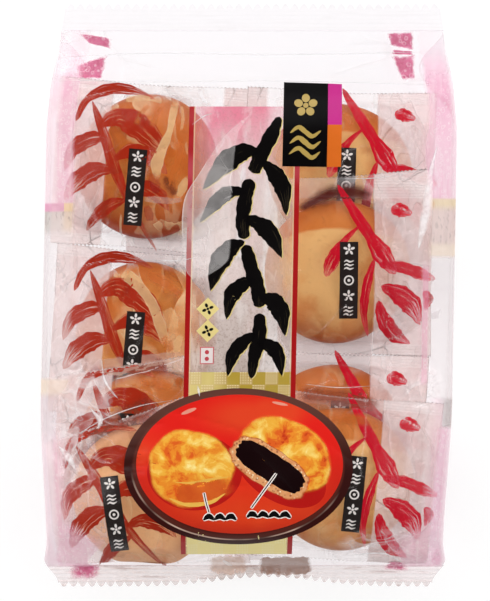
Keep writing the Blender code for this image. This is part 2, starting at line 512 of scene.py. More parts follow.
def side_print(look, side):
    """One gusset's print: pink lace, a small strip, a flecked block, a bare stretch and pink again."""
    f = Finish("gusset print right" if side > 0 else "gusset print left")
    inward, y, _ = f.pattern()

    def past(at, blur):
        return 1.0 - f.step(at - blur, at + blur, y)

    def between(near, far, blur=0.0006):
        return f.step(near - blur, near + blur, inward) * f.fall(far - blur, far + blur, inward)

    threads = f.noise(60.0, 3.0, vector=f.stretch(f.place, (9.0, 0.5, 1.0)))
    cloud = f.noise(90.0, 3.0, vector=f.stretch(f.place, (1.0, 0.5, 1.0)))
    lace = bubble_lace(f, f.bent(90.0, 0.004), 480.0)
    deep = f.step(0.006, 0.0086, inward) if side < 0 else f.step(0.002, 0.005, inward)
    pink = f.mix(f.limit(deep * (0.55 + cloud * 0.6)), paint(247, 224, 232), look.side_pink)
    pink = f.mix(f.step(0.45, 0.75, threads) * 0.5, pink, paint(250, 230, 236))
    pink = f.mix(lace * 0.45, pink, paint(252, 236, 241))
    block = f.step(0.0104, 0.0107, inward)
    strip = f.mix(block, paint(226, 156, 186), paint(240, 204, 148)) if side < 0 else paint(230, 208, 168)
    flecks = f.cells(700.0, "F1", f.stretch(f.bent(200.0, 0.004), (1.0, 0.3, 1.0)))
    fleck = f.limit(f.fall(0.14, 0.5, flecks) + f.step(0.55, 0.65, threads) * 0.4)
    ground = f.mix(f.step(0.0085, 0.012, inward), paint(206, 196, 190), paint(226, 202, 174))
    ground = ground if side < 0 else f.mix(cloud, paint(222, 192, 194), paint(226, 206, 190))
    flecked = f.mix(fleck * (0.62 if side < 0 else 0.4), ground, paint(128, 116, 108))
    scrawl = f.step(0.57, 0.61, f.noise(170.0, 3.0)) * f.step(0.54, 0.6, f.noise(46.0, 1.0))
    scrawl = scrawl * between(0.006, 0.0125)
    bare = f.mix(threads, paint(218, 208, 207), paint(236, 226, 227))
    bare = f.mix(scrawl * 0.5, bare, paint(150, 138, 136))
    dull = paint(226, 206, 210)
    if side > 0:
        dull = f.mix(between(0.0, 0.0062), paint(238, 196, 210), paint(166, 152, 148))
    looks = {
        "strip": (strip, 0.66), "flecked": (flecked, 0.58), "bare": (bare, 0.26 + scrawl * 0.2),
        "warm": (paint(238, 216, 192), 0.46), "dull": (dull, 0.34), "pink": (pink, 0.5),
    }
    tint, cover = pink, 0.5 + deep * 0.06
    for name, (at, blur) in SIDE_STRETCHES[side].items():
        here = past(at, blur)
        tint = f.mix(here, tint, looks[name][0])
        cover = cover + (looks[name][1] - cover) * here
    low = past(-0.04, 0.006)
    foot = past(-0.099, 0.006)
    reach = SIDE_REACH[side] + (cloud - 0.5) * 0.003 - low * 0.0035 + foot * 0.013
    if side > 0:
        reach = reach + f.fall(0.0, 0.02, f.maths("ABSOLUTE", y - 0.06)) * 0.003
    soft = 0.0012 + low * 0.003 + foot * 0.004
    inside = f.fall(0.0, 1.0, (inward - reach + soft) / (soft * 2.0))
    inside = inside * (1.0 - foot * 0.25)
    head = (0.084, 0.096, 0.82) if side < 0 else (0.078, 0.108, 0.92)
    inside = inside * (1.0 - f.step(head[0], head[1], y) * head[2])
    if side > 0:
        ribbon = between(0.0131, 0.0162) * past(0.013, 0.003) * (1.0 - past(-0.0375, 0.002))
        tint = f.mix(ribbon, tint, f.mix(lace * 0.6, paint(236, 158, 188), paint(250, 226, 234)))
        inside = f.most(inside, ribbon * 1.4)
    return f.film(
        f.limit(inside * cover + gleam(f) * 0.1),
        Base_Color=tint,
        Roughness=0.36,
        Normal=f.bump(threads * 0.7 + f.noise(80.0, 3.0), 0.0006),
    )


def tuck_print(look):
    """The gusset's pink lace seen where the film is folded in behind the front."""
    f = Finish("tucked gusset print")
    across, up, _ = f.pattern()
    lace = bubble_lace(f, f.bent(90.0, 0.004), 400.0)
    cloud = f.noise(170.0, 4.0)
    grain = f.noise(820.0, 3.0)
    pink = f.mix(f.step(0.3, 0.7, cloud), look.tuck_pink, paint(222, 118, 156))
    pink = f.mix(f.step(0.5, 0.66, grain) * 0.6, pink, paint(178, 44, 92))
    pink = f.mix(lace * 0.6, pink, paint(246, 206, 220))
    ragged = (f.noise(260.0, 3.0) - 0.5) * 0.36
    _, y, _ = f.along()
    foot = f.fall(-0.1, -0.09, y)
    soft = 0.16 + foot * 0.18
    wear_and_highlight = f.step(0.0, 1.0, (f.least(across, 1.0 - across) + ragged) / soft)
    wear_and_highlight = wear_and_highlight * f.step(0.0, 1.0, (f.least(up, 1.0 - up) + ragged) / soft)
    return f.film(f.limit(wear_and_highlight * (0.8 + cloud * 0.3)), Base_Color=pink, Roughness=0.5)


def washi_band(inks):
    """The band's paper-like print: pink at its head, then a thin silvery foil, denser and grainy below."""
    f = Finish("washi band")
    across, y, _ = f.pattern()
    streak = f.noise(150.0, 4.0, vector=f.stretch(f.place, (1.0, 0.12, 1.0)))
    brushed = f.noise(220.0, 4.0, 0.6, f.stretch(f.bent(40.0, 0.006), (1.0, 0.22, 1.0)))
    grain = f.noise(1000.0, 3.0, 0.7)
    cloud = f.noise(60.0, 3.0, vector=f.stretch(f.place, (1.0, 0.5, 1.0)))
    foil, crease = facets(f, 55.0, f.stretch(f.bent(60.0, 0.01), (1.6, 0.45, 1.0)))
    crease = crease * f.step(0.5, 0.62, f.noise(90.0, 1.0))
    low = f.fall(-0.044, 0.03, y + (cloud - 0.5) * 0.05)
    head = f.step(0.04, 0.082, y + (streak - 0.5) * 0.03 - f.step(0.1, 0.8, across) * 0.01)
    side = f.step(0.22, 0.44, f.maths("ABSOLUTE", across - 0.48) + (cloud - 0.5) * 0.3)
    silver = f.mix(foil * 0.6 + brushed * 0.4, paint(206, 190, 178), paint(146, 126, 112))
    paper = f.mix(low * 0.9, f.mix(foil * 0.5, inks.band_paper, paint(208, 188, 178)), silver)
    paper = f.mix(f.step(0.03, 0.066, y) * 0.6, paper, paint(240, 206, 212))
    tint = f.mix(head * 0.95, paper, f.mix(streak * 0.5, inks.band_pink, paint(230, 128, 152)))
    tint = f.mix(f.step(0.47, 0.66, grain) * (0.2 + low * 0.4), tint, paint(120, 100, 90))
    tint = f.mix(f.step(0.54, 0.66, brushed) * (0.2 + low * 0.25), tint, paint(250, 244, 240))
    tint = f.mix(crease * (1.0 - head) * 0.45, tint, paint(252, 248, 244))
    cover = 0.42 + low * 0.22 + f.step(0.4, 0.62, cloud) * 0.26
    cover = cover + (foil - 0.5) * 0.18 + (brushed - 0.5) * 0.4
    cover = cover - side * (0.34 - low * 0.12) + (grain - 0.5) * 0.2
    cover = cover + (0.88 - side * 0.48 - cover) * head
    return f.film(
        f.limit(cover),
        Base_Color=tint,
        Roughness=0.45,
        Specular_IOR_Level=0.25,
        Normal=f.bump(grain * 0.3 + streak * 0.6 + foil * 0.4, 0.0003),
    )


def film_veil():
    """A slack fold of film over the band: milky, with a bright line along its free edge."""
    f = Finish("slack film fold")
    along, across, _ = f.pattern()
    cloud = f.noise(70.0, 3.0)
    free = f.fall(0.0, 0.035, across)
    rim = f.step(0.0, 0.1, f.least(along, 1.0 - along)) * f.step(0.0, 0.05, 1.0 - across)
    cover = rim * (0.17 + f.step(0.35, 0.7, cloud) * 0.16) + free * f.step(0.35, 0.6, cloud) * 0.35
    return f.film(
        f.limit(cover + creased(f, 60.0, 0.02) * 0.2),
        Base_Color=paint(248, 242, 240),
        Roughness=0.4,
        Normal=f.bump(cloud, 0.0008),
    )


def printed(name, tint, dark=0.82, roughness=0.34, sheen=0.06, scale=90.0, shine=0.12, cover=None):
    """Ink on film, a shade uneven, with the film's own soft waves."""
    f = Finish(name)
    cloud = f.noise(scale, 4.0)
    inputs = {
        "Base_Color": f.mix(cloud, tuple(c * dark for c in tint), tint),
        "Roughness": f.limit(roughness + (cloud - 0.5) * 0.2),
        "Coat_Weight": sheen,
        "Coat_Roughness": 0.1,
        "Specular_IOR_Level": shine,
        "Normal": f.waves(),
    }
    return f.solid(**inputs) if cover is None else f.film(cover, **inputs)


def painted_crease_glint():
    """Painted highlight: the white glint of light along a hard film crease, brightest along the fold."""
    f = Finish("whitened crease")
    along, across, _ = f.pattern()
    ridge = f.step(0.0, 0.35, across) * f.fall(0.55, 1.0, across)
    patchy = f.step(0.3, 0.62, f.noise(240.0, 3.0))
    return f.film(
        f.limit(ridge * (0.28 + patchy * 0.45)),
        Base_Color=paint(252, 250, 251),
        Roughness=0.3,
        Normal=f.bump(ridge, 0.0004),
    )


def border_print(inks):
    """Dark red line with paler pink stretches, a painted highlight of the film over it."""
    f = Finish("border red")
    # Painted highlight: the paler pink stretches along the line.
    wear_and_highlight = f.step(0.58, 0.72, f.noise(16.0, 3.0, vector=f.stretch(f.place, (0.4, 1.0, 1.0))))
    return f.inked(f.mix(wear_and_highlight * 0.5, inks.border, paint(206, 96, 110)), 0.36)


def brushed_ink(name, tint, thin, cover_thin, threshold):
    """Ink laid with a brush: full in the stroke's body, streaked and thin towards its ends."""
    f = Finish(name)
    along, across, which = f.pattern()
    hair_place = f.node("ShaderNodeCombineXYZ", None, {0: along * 0.35, 1: across * 2.4, 2: which * 9.0})
    hairs = f.noise(6.0, 3.0, 0.6, hair_place)
    ends = f.limit(f.step(0.5, 1.0, along) + f.fall(0.0, 0.1, along) * 0.4)
    dry = f.step(threshold, threshold + 0.03, hairs + ends * 0.13)
    grain = f.noise(700.0, 2.0)
    cover = f.limit(0.998 - dry * (1.0 - cover_thin) * (0.7 + grain * 0.6))
    return f.film(
        cover,
        Base_Color=f.mix(dry, tint, thin),
        Roughness=0.38,
        Coat_Weight=0.0,
        Specular_IOR_Level=0.05,
        Normal=f.bump(f.noise(60.0, 3.0), 0.0005),
    )


def checked_gold(inks, name, pale):
    """Squares of plain gold and squares of fine dots, turn about; pale is how far it fades to straw."""
    f = Finish(name)
    across, up, _ = f.pattern()
    turn = math.pi / CHECK_SIDE
    squares = f.maths("SINE", across * turn) * f.maths("SINE", up * turn)
    dotted = f.step(-0.02, 0.02, squares)
    fine = 10.0 * turn
    dot = f.step(0.0, 0.5, f.maths("SINE", across * fine)) * f.step(0.0, 0.5, f.maths("SINE", up * fine))
    sheen = f.noise(55.0, 2.0, vector=f.stretch(f.place, (1.0, 0.4, 1.0)))
    light = f.limit(pale + f.fall(0.002, 0.016, across) * 0.8 + f.step(0.5, 0.72, sheen) * 0.5)
    gold = f.mix(light, inks.old_gold, inks.straw)
    gold = f.mix(dotted * (0.4 - pale * 0.3), gold, paint(206, 170, 128))
    gold = f.mix(pale * 0.5, gold, paint(255, 240, 168))
    tint = f.mix(dot * dotted * 0.85, gold, paint(250, 242, 196))
    return f.inked(tint, cover=f.limit(0.92 + sheen * 0.08))


def dish_inside(inks):
    """Red lacquer as printed: brighter in the middle, orange towards the foot, soft reflections."""
    f = Finish("pictured red lacquer")
    radius, _, _ = f.pattern()
    x, y, _ = f.along()
    low = f.fall(-0.098, -0.06, y)
    deep = f.step(0.72, 1.0, radius) * f.fall(-0.08, -0.06, y)
    red = f.mix(low * 0.7, inks.dish_red, paint(216, 74, 28))
    red = f.mix(deep * 0.5, red, paint(190, 22, 22))
    off_middle = ((x * x) + (y + 0.05) * (y + 0.05) * 6.0) ** 0.5
    glow = f.limit(f.step(0.55, 0.8, f.noise(26.0, 2.0)) + f.fall(0.0, 0.028, off_middle) * 1.2)
    return f.inked(f.mix(glow * 0.45, red, paint(232, 92, 44)))


def dish_edge(inks):
    """Brown rim in two tiers with a fine light line between them."""
    f = Finish("pictured lacquer rim")
    radius, _, _ = f.pattern()
    _, y, _ = f.along()
    high = f.step(-0.075, -0.04, y)
    tier = f.mix(f.step(0.45, 0.6, radius), inks.dish_rim, paint(52, 12, 10))
    tier = f.mix(high * 0.6, tier, paint(118, 74, 62))
    tier = f.mix(f.fall(0.08, 0.3, radius) * 0.6, tier, paint(60, 10, 8))
    line = f.step(0.5, 0.56, radius) * f.fall(0.6, 0.66, radius)
    shine = line * f.fall(-0.09, -0.068, y) * f.step(0.35, 0.62, f.noise(40.0, 2.0))
    return f.inked(f.mix(shine * 0.8, tier, paint(236, 200, 180)))


# The pictured crust's tones: how far the glaze has thinned where each begins, from red to palest gold.
CRUST_TONES = (
    (0.38, (226, 96, 30)),
    (0.46, (236, 140, 40)),
    (0.53, (243, 176, 60)),
    (0.6, (250, 206, 100)),
    (0.67, (254, 230, 150)),
)


def pictured_crust(name, shift):
    """Golden crust as printed, from red glaze to pale ridges; shift makes it paler."""
    f = Finish(f"pictured crust {name}")
    radius, around, _ = f.pattern()
    bent = f.bent(70.0, 0.016)
    height = f.maths("SINE", around * (2 * math.pi)) * radius
    away = f.cells(82.0, "DISTANCE_TO_EDGE", bent) + (f.noise(210.0, 3.0) - 0.5) * 0.2
    ridge = f.fall(0.0, 0.32, away)
    low = f.fall(-0.9, 0.1, height)
    glaze = f.noise(95.0, 5.0, 0.62, bent) + ridge * 0.1 - low * 0.05 + shift
    tone = paint(202, 54, 20)
    for start, rgb in CRUST_TONES:
        tone = f.mix(f.step(start, start + 0.06, glaze), tone, paint(*rgb))
    tone = f.mix(f.step(0.86, 0.96, radius) * 0.5, tone, paint(242, 170, 62))
    ragged = radius + (f.noise(200.0, 3.0) - 0.5) * 0.1
    return f.inked(tone, 0.4, 1.0 - f.step(0.92, 1.0, ragged) * 0.9)


def pictured_side():
    """The pictured pie's flank: a glazed brown orange that fades out at its ends."""
    f = Finish("pictured side")
    along, across, _ = f.pattern()
    cloud = f.noise(180.0, 4.0)
    ends = f.step(0.0, 0.16, along) * f.step(0.0, 0.3, 1.0 - along)
    rims = f.step(0.0, 0.16, across) * f.step(0.0, 0.16, 1.0 - across)
    tone = f.mix(cloud, paint(196, 62, 22), paint(226, 112, 36))
    return f.film(ends * rims * 0.95, Base_Color=tone, Roughness=0.4, Specular_IOR_Level=0.15)


def pictured_crumb():
    """Crumb round the pictured filling, pitted with small dark holes and pale flecks."""
    f = Finish("pictured crumb")
    radius, _, _ = f.pattern()
    pits = f.fall(0.1, 0.42, f.cells(620.0))
    tone = f.mix(f.noise(260.0, 4.0), paint(206, 112, 62), paint(244, 192, 132))
    tone = f.mix(pits * 0.75, tone, paint(130, 48, 30))
    tone = f.mix(1.0 - f.step(0.12, 0.34, f.cells(700.0)), tone, paint(250, 226, 186))
    tone = f.mix(f.step(0.92, 0.98, radius) * 0.7, tone, paint(190, 80, 36))
    ragged = radius + (f.noise(300.0, 3.0) - 0.5) * 0.16
    cover = 1.0 - f.step(0.94, 1.0, ragged) * 0.9
    return f.film(cover, Base_Color=tone, Roughness=0.4, Specular_IOR_Level=0.15)


def wrapper_film(look, name, milky, dense):
    """Clear film over the pie with painted light and shade on its creased facets, milky print beside it:
    milky is how creased, and so how strongly these are painted, dense how full the print is.
    """
    f = Finish(f"wrapper film {name}")
    u, v, border = f.pattern()
    # Painted shadow: a darker line along the wrapper's cut edge, for the shadow of its teeth.
    edge = f.step(0.984, 0.992, border)
    half = look.window / 2
    frosted = f.step(half - 0.0005, half + 0.0005, f.maths("ABSOLUTE", u))
    inner = look.breadth / 2 - look.end_seal
    seal = f.step(inner - 0.0004, inner, f.maths("ABSOLUTE", v))
    over_pie = f.fall(0.8, 1.0, (u * u + v * v) / 0.00092)
    tone, ridge = facets(f, 62.0, f.bent(26.0, 0.022, f.stretch(f.place, (1.35, 0.5, 1.0))))
    fold = sheets(f, 46.0, f.stretch(f.bent(30.0, 0.02), (1.3, 0.6, 1.0)), 0.5, 0.08)
    lines = creased(f, 60.0, 0.022)
    fibre = creased(f, 250.0, 0.055, f.stretch(f.place, (1.0, 1.5, 1.0)))
    threads = creased(f, 420.0, 0.06)
    mottle = f.noise(320.0, 4.0)
    # Painted light and shade: pale facets stand for lit ones, deep facets for shaded ones.
    pale = f.step(0.6, 0.62, tone)
    deep = f.fall(0.26, 0.3, tone)
    patchy = f.step(0.36, 0.62, f.noise(60.0, 2.0))
    # Window cover: painted highlights on pale facets and their ridges, painted shade on deep facets over
    # the pie, and painted glints on folds and crease lines.
    window = 0.004 + (pale * 0.46 + deep * over_pie * 0.3) * patchy * milky
    window = window + ridge * pale * patchy * milky * 0.24 + fold * (0.1 + milky * 0.2) + lines * 0.08
    window = window + f.step(0.44, 0.7, f.noise(34.0, 2.0)) * 0.05
    frost = look.frost_cover * dense + (mottle - 0.5) * 0.16 + f.limit(fibre + threads * 0.6) * 0.18
    frost = frost + (tone - 0.5) * 0.16 + fold * 0.16
    cover = window * (1.0 - frosted) + frost * frosted + seal * 0.08 + edge * 0.1 + gleam(f) * 0.1
    white = f.mix(mottle * 0.6 + seal * 0.3, look.frost, paint(248, 240, 238))
    # Over the pie, lit facets are painted cream and shaded ones brown.
    clear = f.mix(over_pie, paint(240, 234, 232), f.mix(deep, paint(250, 216, 166), paint(150, 68, 24)))
    # The darker edge line is painted shadow.
    tint = f.mix(edge * 0.25, f.mix(frosted, clear, white), paint(160, 138, 128))
    ribs = f.maths("SINE", v * (2 * math.pi / 0.0012)) * seal
    relief = f.noise(90.0, 3.0) * 0.5 + lines * 0.6 + tone * 0.6 + fold * 0.2 + ribs * 0.05
    return f.film(
        f.limit(cover),
        Base_Color=tint,
        Roughness=0.24 + frosted * 0.2,
        Specular_IOR_Level=0.35,
        Normal=f.bump(relief, 0.001),
    )


def crust(look, name, bake, rim):
    """Baked crust: pale dome, golden round it, brown at the shoulder; painted shade on the near side, and a
    darker low flank that is partly real browning, partly painted shade; bake deepens it, rim sharpens the
    far band.
    """
    f = Finish(f"pie crust {name}")
    px, py, height = f.pattern()
    radius = (px * px + py * py) ** 0.5
    cloud = f.noise(40.0, 4.0, 0.55)
    fine = f.noise(420.0, 3.0)
    patch = f.noise(62.0, 3.0, 0.6, f.bent(60.0, 0.01))
    light = f.mix(rim, look.light, paint(236, 184, 118))
    tone = f.mix(f.limit(f.step(0.34, 0.66, cloud) * 0.9 + bake), light, look.golden)
    # Painted shade: the side towards the foot is darkened as if turned from the light.
    near_side_shade = f.fall(-1.0, -0.2, py + (patch - 0.5) * 0.5)
    far_side = f.step(0.55, 0.8 - rim * 0.2, py + (patch - 0.5) * (0.2 - rim * 0.06) + px * px * rim * 0.2)
    shoulder = f.step(0.66, 1.0, radius + (patch - 0.5) * 0.5)
    tone = f.mix(far_side * (0.55 + rim * 0.3), tone, look.golden)
    tone = f.mix(f.limit(shoulder * 0.4 + near_side_shade * (0.45 + min(bake, 0.6) * 0.5)), tone, look.brown)
    tone = f.mix(f.step(0.56, 0.74, patch) * 0.4, tone, paint(186, 84, 30))
    # Darker low on the flank and underneath: partly real browning, partly painted shade.
    under = f.fall(0.18, 0.5, height)
    tone = f.mix(under * (0.6 + min(bake + 0.3, 0.0)), tone, paint(140, 54, 22))
    tone = f.mix(max(-bake - 0.3, 0.0) * 2.0, tone, paint(240, 192, 154))
    tone = f.mix(f.step(0.6, 0.75, fine) * 0.2, tone, paint(160, 74, 30))
    return f.solid(
        Base_Color=tone,
        Roughness=f.limit(0.46 + (fine - 0.5) * 0.3),
        Specular_IOR_Level=0.15,
        Normal=f.bump(cloud * 0.6 + fine * 0.25, 0.0006),
    )


# ---------------------------------------------------------------- meshes


def grid_faces(rows, columns, start=0, around=False):
    """Quads of a rows x columns grid of points; around joins the last column to the first."""
    i = np.arange(rows - 1)[:, None]
    j = np.arange(columns if around else columns - 1)[None, :]
    k = (j + 1) % columns
    quads = np.stack([i * columns + j, i * columns + k, (i + 1) * columns + k, (i + 1) * columns + j], -1)
    return quads.reshape(-1, 4) + start


def make_piece(name, points, faces, material, pattern=None, casts=False):
    """A smooth mesh object that rides on the bag; pattern holds the shader's own coordinates."""
    mesh = bpy.data.meshes.new(name)
    mesh.from_pydata(np.asarray(points, float).reshape(-1, 3), [], faces)
    mesh.validate()
    mesh.shade_smooth()
    if pattern is not None:
        layer = mesh.attributes.new("pattern", "FLOAT_VECTOR", "POINT")
        layer.data.foreach_set("vector", np.asarray(pattern, np.float32).reshape(-1))
    mesh.materials.append(material)
    piece = bpy.data.objects.new(name, mesh)
    bpy.context.scene.collection.objects.link(piece)
    piece.visible_shadow = casts
    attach(piece, "root")
    return piece


class Skin:
    """A finished piece's surface, to lay prints on."""

    def __init__(self, *names):
        points, faces = [], []
        for name in names:
            mesh = bpy.data.objects[name].data
            start = len(points)
            points += [v.co[:] for v in mesh.vertices]
            faces += [[start + i for i in p.vertices] for p in mesh.polygons]
        self.tree = BVHTree.FromPolygons(points, faces)

    def heights(self, x, y, upwards=False, missing=0.0):
        """Height of the first surface met from above, or from below."""
        start = -RAY_TOP if upwards else RAY_TOP
        down = Vector((0, 0, 1 if upwards else -1))
        x, y = np.broadcast_arrays(x, y)
        found = np.full(x.size, missing)
        for i, (px, py) in enumerate(zip(x.ravel(), y.ravel())):
            hit = self.tree.ray_cast(Vector((px, py, start)), down)[0]
            if hit is not None:
                found[i] = hit.z
        return found.reshape(x.shape)


def faces_up(flat):
    """Whether the quads of a flat patch have their fronts up."""
    down = flat[1:, :-1] - flat[:-1, :-1]
    across = flat[:-1, 1:] - flat[:-1, :-1]
    return (across[..., 0] * down[..., 1] - across[..., 1] * down[..., 0]).sum() > 0


def make_patches(name, patches, height, material):
    """One piece of patches, each its (rows, columns, 2) points and its pattern, at a height(x, y)."""
    points, faces, pattern = [], [], []
    start = 0
    for flat, own in patches:
        rows, columns = flat.shape[:2]
        points.append(np.dstack([flat, height(flat[..., 0], flat[..., 1])]).reshape(-1, 3))
        pattern.append(own.reshape(-1, 3))
        quads = grid_faces(rows, columns, start)
        faces.append(quads if faces_up(flat) else quads[:, ::-1])
        start += rows * columns
    points, faces, pattern = np.concatenate(points), np.concatenate(faces), np.concatenate(pattern)
    return make_piece(name, points, faces, material, pattern)


def lay_on(skin, name, patches, lift, material, missing=0.006):
    """Print patches laid on a skin; where there is no skin under a point, missing is its height."""
    make_patches(name, patches, lambda x, y: skin.heights(x, y, missing=missing) + lift, material)


def shares(rows, columns):
    """Two grids of shares from 0 to 1, down the rows and across the columns."""
    return np.meshgrid(np.linspace(0, 1, rows), np.linspace(0, 1, columns), indexing="ij")


def leaning(x, y):
    """A point of the printed design on the bag: it leans with the band and keeps the print's scale."""
    return PRINT_SCALE * (x + BAND_LEAN * y) + PRINT_SHIFT[0], PRINT_SCALE * y + PRINT_SHIFT[1]


def quad_patch(corners, step=0.001):
    """A four-sided patch from its corners (lower left, lower right, upper right, upper left)."""
    low_left, low_right, high_right, high_left = (np.array(c, float) for c in corners)
    rows = 2 + int(np.linalg.norm(high_left - low_left) / step)
    columns = 2 + int(np.linalg.norm(low_right - low_left) / step)
    up, across = shares(rows, columns)
    up, across = up[..., None], across[..., None]
    low = low_left * (1 - across) + low_right * across
    high = high_left * (1 - across) + high_right * across
    flat = low * (1 - up) + high * up
    return flat, np.concatenate([across, up, 0 * up], axis=-1)


def ring_patch(centre, axes, inner=0.0, turn=0.0, uneven=None, step=0.0011):
    """An elliptic disc or ring; its pattern is (radius share, angle share, 0)."""
    spokes = 8 + int(2 * math.pi * max(axes) / step)
    rings = 2 + int(max(axes) * (1.0 - inner) / step)
    out, around = shares(rings, spokes + 1)
    angle = 2 * math.pi * around
    radius = inner + (1.0 - inner) * out
    reach = radius * (1 + (uneven(angle) if uneven else 0) * radius)
    x = axes[0] * reach * np.cos(angle)
    y = axes[1] * reach * np.sin(angle)
    c, s = math.cos(turn), math.sin(turn)
    flat = np.dstack([centre[0] + c * x - s * y, centre[1] + s * x + c * y])
    return flat, np.dstack([out, around, 0 * out])


def through(points, count):
    """A smooth curve through points of any number of values, read at count places."""
    points = np.array(points, float)
    padded = np.concatenate([[2 * points[0] - points[1]], points, [2 * points[-1] - points[-2]]])
    at = np.linspace(0, len(points) - 1 - 1e-9, count)
    i = at.astype(int)
    t = (at - i)[:, None]
    a, b, c, d = padded[i], padded[i + 1], padded[i + 2], padded[i + 3]
    return 0.5 * (2 * b + (c - a) * t + (2 * a - 5 * b + 4 * c - d) * t**2 + (3 * b - a - 3 * c + d) * t**3)


STROKE_COLUMNS = 7


def stroke(points, which=0.0, widen=0.0, shift=(0.0, 0.0), along_step=0.8):
    """A brush stroke in millimetres: points are (x, y, half width) along its middle."""
    rough = np.linalg.norm(np.diff(np.array(points)[:, :2], axis=0), axis=1).sum()
    count = 12 + int(rough / along_step)
    line = through(points, count)
    tangent = np.gradient(line[:, :2], axis=0)
    tangent /= np.linalg.norm(tangent, axis=1, keepdims=True) + 1e-9
    side = np.stack([-tangent[:, 1], tangent[:, 0]], axis=1)
    at = np.linspace(0, 1, count)
    half = np.maximum(line[:, 2], 0.02)
    half = half * (1 + 0.06 * np.sin(21 * at + 5 * which) + 0.04 * np.sin(47 * at + 3 * which))
    half = half * np.sqrt(np.minimum(1.0, np.minimum(at, 1 - at) / 0.05 + 0.02)) + widen
    spread = np.linspace(-1, 1, STROKE_COLUMNS)
    flat = line[:, None, :2] + side[:, None, :] * half[:, None, None] * spread[None, :, None]
    flat = (flat + np.array(shift)) * MM
    along, across = shares(count, STROKE_COLUMNS)
    return flat, np.dstack([along, across, np.full_like(along, which)])


def lean_patches(patches):
    """Patches of the printed design, moved to where the print lies on the bag."""
    return [(np.dstack(leaning(flat[..., 0], flat[..., 1])), own) for flat, own in patches]


# ---------------------------------------------------------------- the bag's surface


def ramp(low, high, value):
    """0 below low, 1 above high, and a smooth S between them."""
    t = np.clip((value - low) / (high - low), 0, 1)
    return t * t * (3 - 2 * t)


def swell(y):
    """How far the bag is blown up at y: 0 at a seal, 1 over the pies."""
    from_bottom = np.clip((y - BOTTOM_SEAL_Y) / BOTTOM_SWELL, 0, 1)
    from_top = np.clip((TOP_SEAL_Y - y) / TOP_SWELL, 0, 1)
    return np.sqrt(1 - (1 - from_bottom) ** 2) * np.sin(math.pi / 2 * from_top)


def half_width(y):
    """Half the bag's width: it draws in towards both seals."""
    narrowing = (BODY_WIDTH - SEAL_WIDTH) / 2
    header = ramp(0.07, 0.128, y)
    foot = 0.35 * ramp(-0.04, -0.114, y) + 0.65 * ramp(-0.11, -0.121, y)
    return BODY_WIDTH / 2 - narrowing * (header + foot)


def lean(y):
    """How far the bag's middle stands to the side at y."""
    return 0.0016 * np.sin(math.pi / 2 * y / (LENGTH / 2))


def half_thickness(y):
    """Half the bag's thickness: more at the foot, where the pies lie two deep."""
    filled = FOOT_THICKNESS + (HEAD_THICKNESS - FOOT_THICKNESS) * ramp(-0.06, 0.06, y)
    return SEAL_THICKNESS / 2 + (filled - SEAL_THICKNESS) / 2 * swell(y)


def middle_height(y):
    """Height of the bag's middle plane, from the seals' heights to that of the resting body."""
    resting = half_thickness(y) - UNDERSIDE_PRESS
    near_bottom = 1 - ramp(BOTTOM_SEAL_Y, BOTTOM_SEAL_Y + 0.016, y)
    near_top = ramp(TOP_SEAL_Y - 0.03, TOP_SEAL_Y, y)
    height = resting + (BOTTOM_SEAL_HEIGHT - resting) * near_bottom
    return height + (TOP_SEAL_HEIGHT - height) * near_top


def crease(y):
    """How deep the gusset is folded in at y."""
    opened = swell(y)
    tucked = 4 * opened * (1 - opened)
    return CREASE_DEPTH * opened + TUCK_DEPTH * tucked**2 * (0.35 if y < 0 else 1.0)


def pie_lift(x, y):
    """How far the pies under a point push the front film up."""
    total = 0.0
    for side, rows in ((-1, LEFT_ROWS), (1, RIGHT_ROWS)):
        for row_y, lift in rows:
            away = np.hypot(x - side * COLUMN_X, y - row_y) / LIFT_REACH
            total = total + lift * (1 - ramp(0.2, 1.0, away))
    return total


def rounded_box(w, h, square):
    """A rounded box as x and z rows, turning from +X through +Z."""
    corner = 0.5 ** (1 / square)
    panel = corner * np.linspace(1, -1, PANEL_SEGMENTS, endpoint=False)
    flank = corner * np.linspace(-1, 1, FLANK_SEGMENTS, endpoint=False)
    panel_rise = (1 - np.abs(panel) ** square) ** (1 / square)
    flank_rise = (1 - np.abs(flank) ** square) ** (1 / square)
    x = np.concatenate([flank_rise, panel, -flank_rise, -panel])
    z = np.concatenate([flank, panel_rise, -flank, -panel_rise])
    return w * x, h * z


def fold_depth(x, y, folds):
    """How deep a set of folds (x0, y0, x1, y1, depth, width) presses the film in at each point."""
    total = np.zeros(np.broadcast(x, y).shape)
    for x0, y0, x1, y1, depth, width in folds:
        dx, dy = x1 - x0, y1 - y0
        along = ((x - x0) * dx + (y - y0) * dy) / (dx * dx + dy * dy)
        off = np.abs((x - x0) * dy - (y - y0) * dx) / math.hypot(dx, dy)
        total += depth * np.exp(-off / width) * ramp(-0.12, 0.25, along) * ramp(-0.12, 0.25, 1 - along)
    return total


def loose_folds(dice, count, low, high, lengths, depths, widths, heading, scatter):
    """Random folds inside a box; heading is their usual angle and scatter how far it varies."""
    folds = []
    for _ in range(count):
        x0, y0 = dice.uniform(low[0], high[0]), dice.uniform(low[1], high[1])
        angle = heading + dice.uniform(-scatter, scatter)
        length = dice.uniform(*lengths)
        x1, y1 = x0 + length * math.cos(angle), y0 + length * math.sin(angle)
        folds.append((x0, y0, x1, y1, dice.uniform(*depths), dice.uniform(*widths)))
    return folds


# The film's long folds, in metres: start, end, depth and width.
LONG_FOLDS = (
    (-0.08, 0.0935, 0.079, 0.0905, 0.0009, 0.0011),
    (-0.078, 0.0895, 0.082, 0.0925, 0.0007, 0.001),
    (-0.03, 0.1025, 0.075, 0.1, 0.0003, 0.001),
    (-0.074, 0.106, 0.02, 0.1085, 0.0003, 0.001),
    (-0.066, 0.085, -0.084, 0.056, 0.001, 0.0016),
    (0.07, 0.086, 0.086, 0.06, 0.001, 0.0016),
    (-0.07, -0.113, -0.05, -0.09, 0.001, 0.0014),
    (0.04, -0.112, 0.074, -0.096, 0.0009, 0.0013),
)
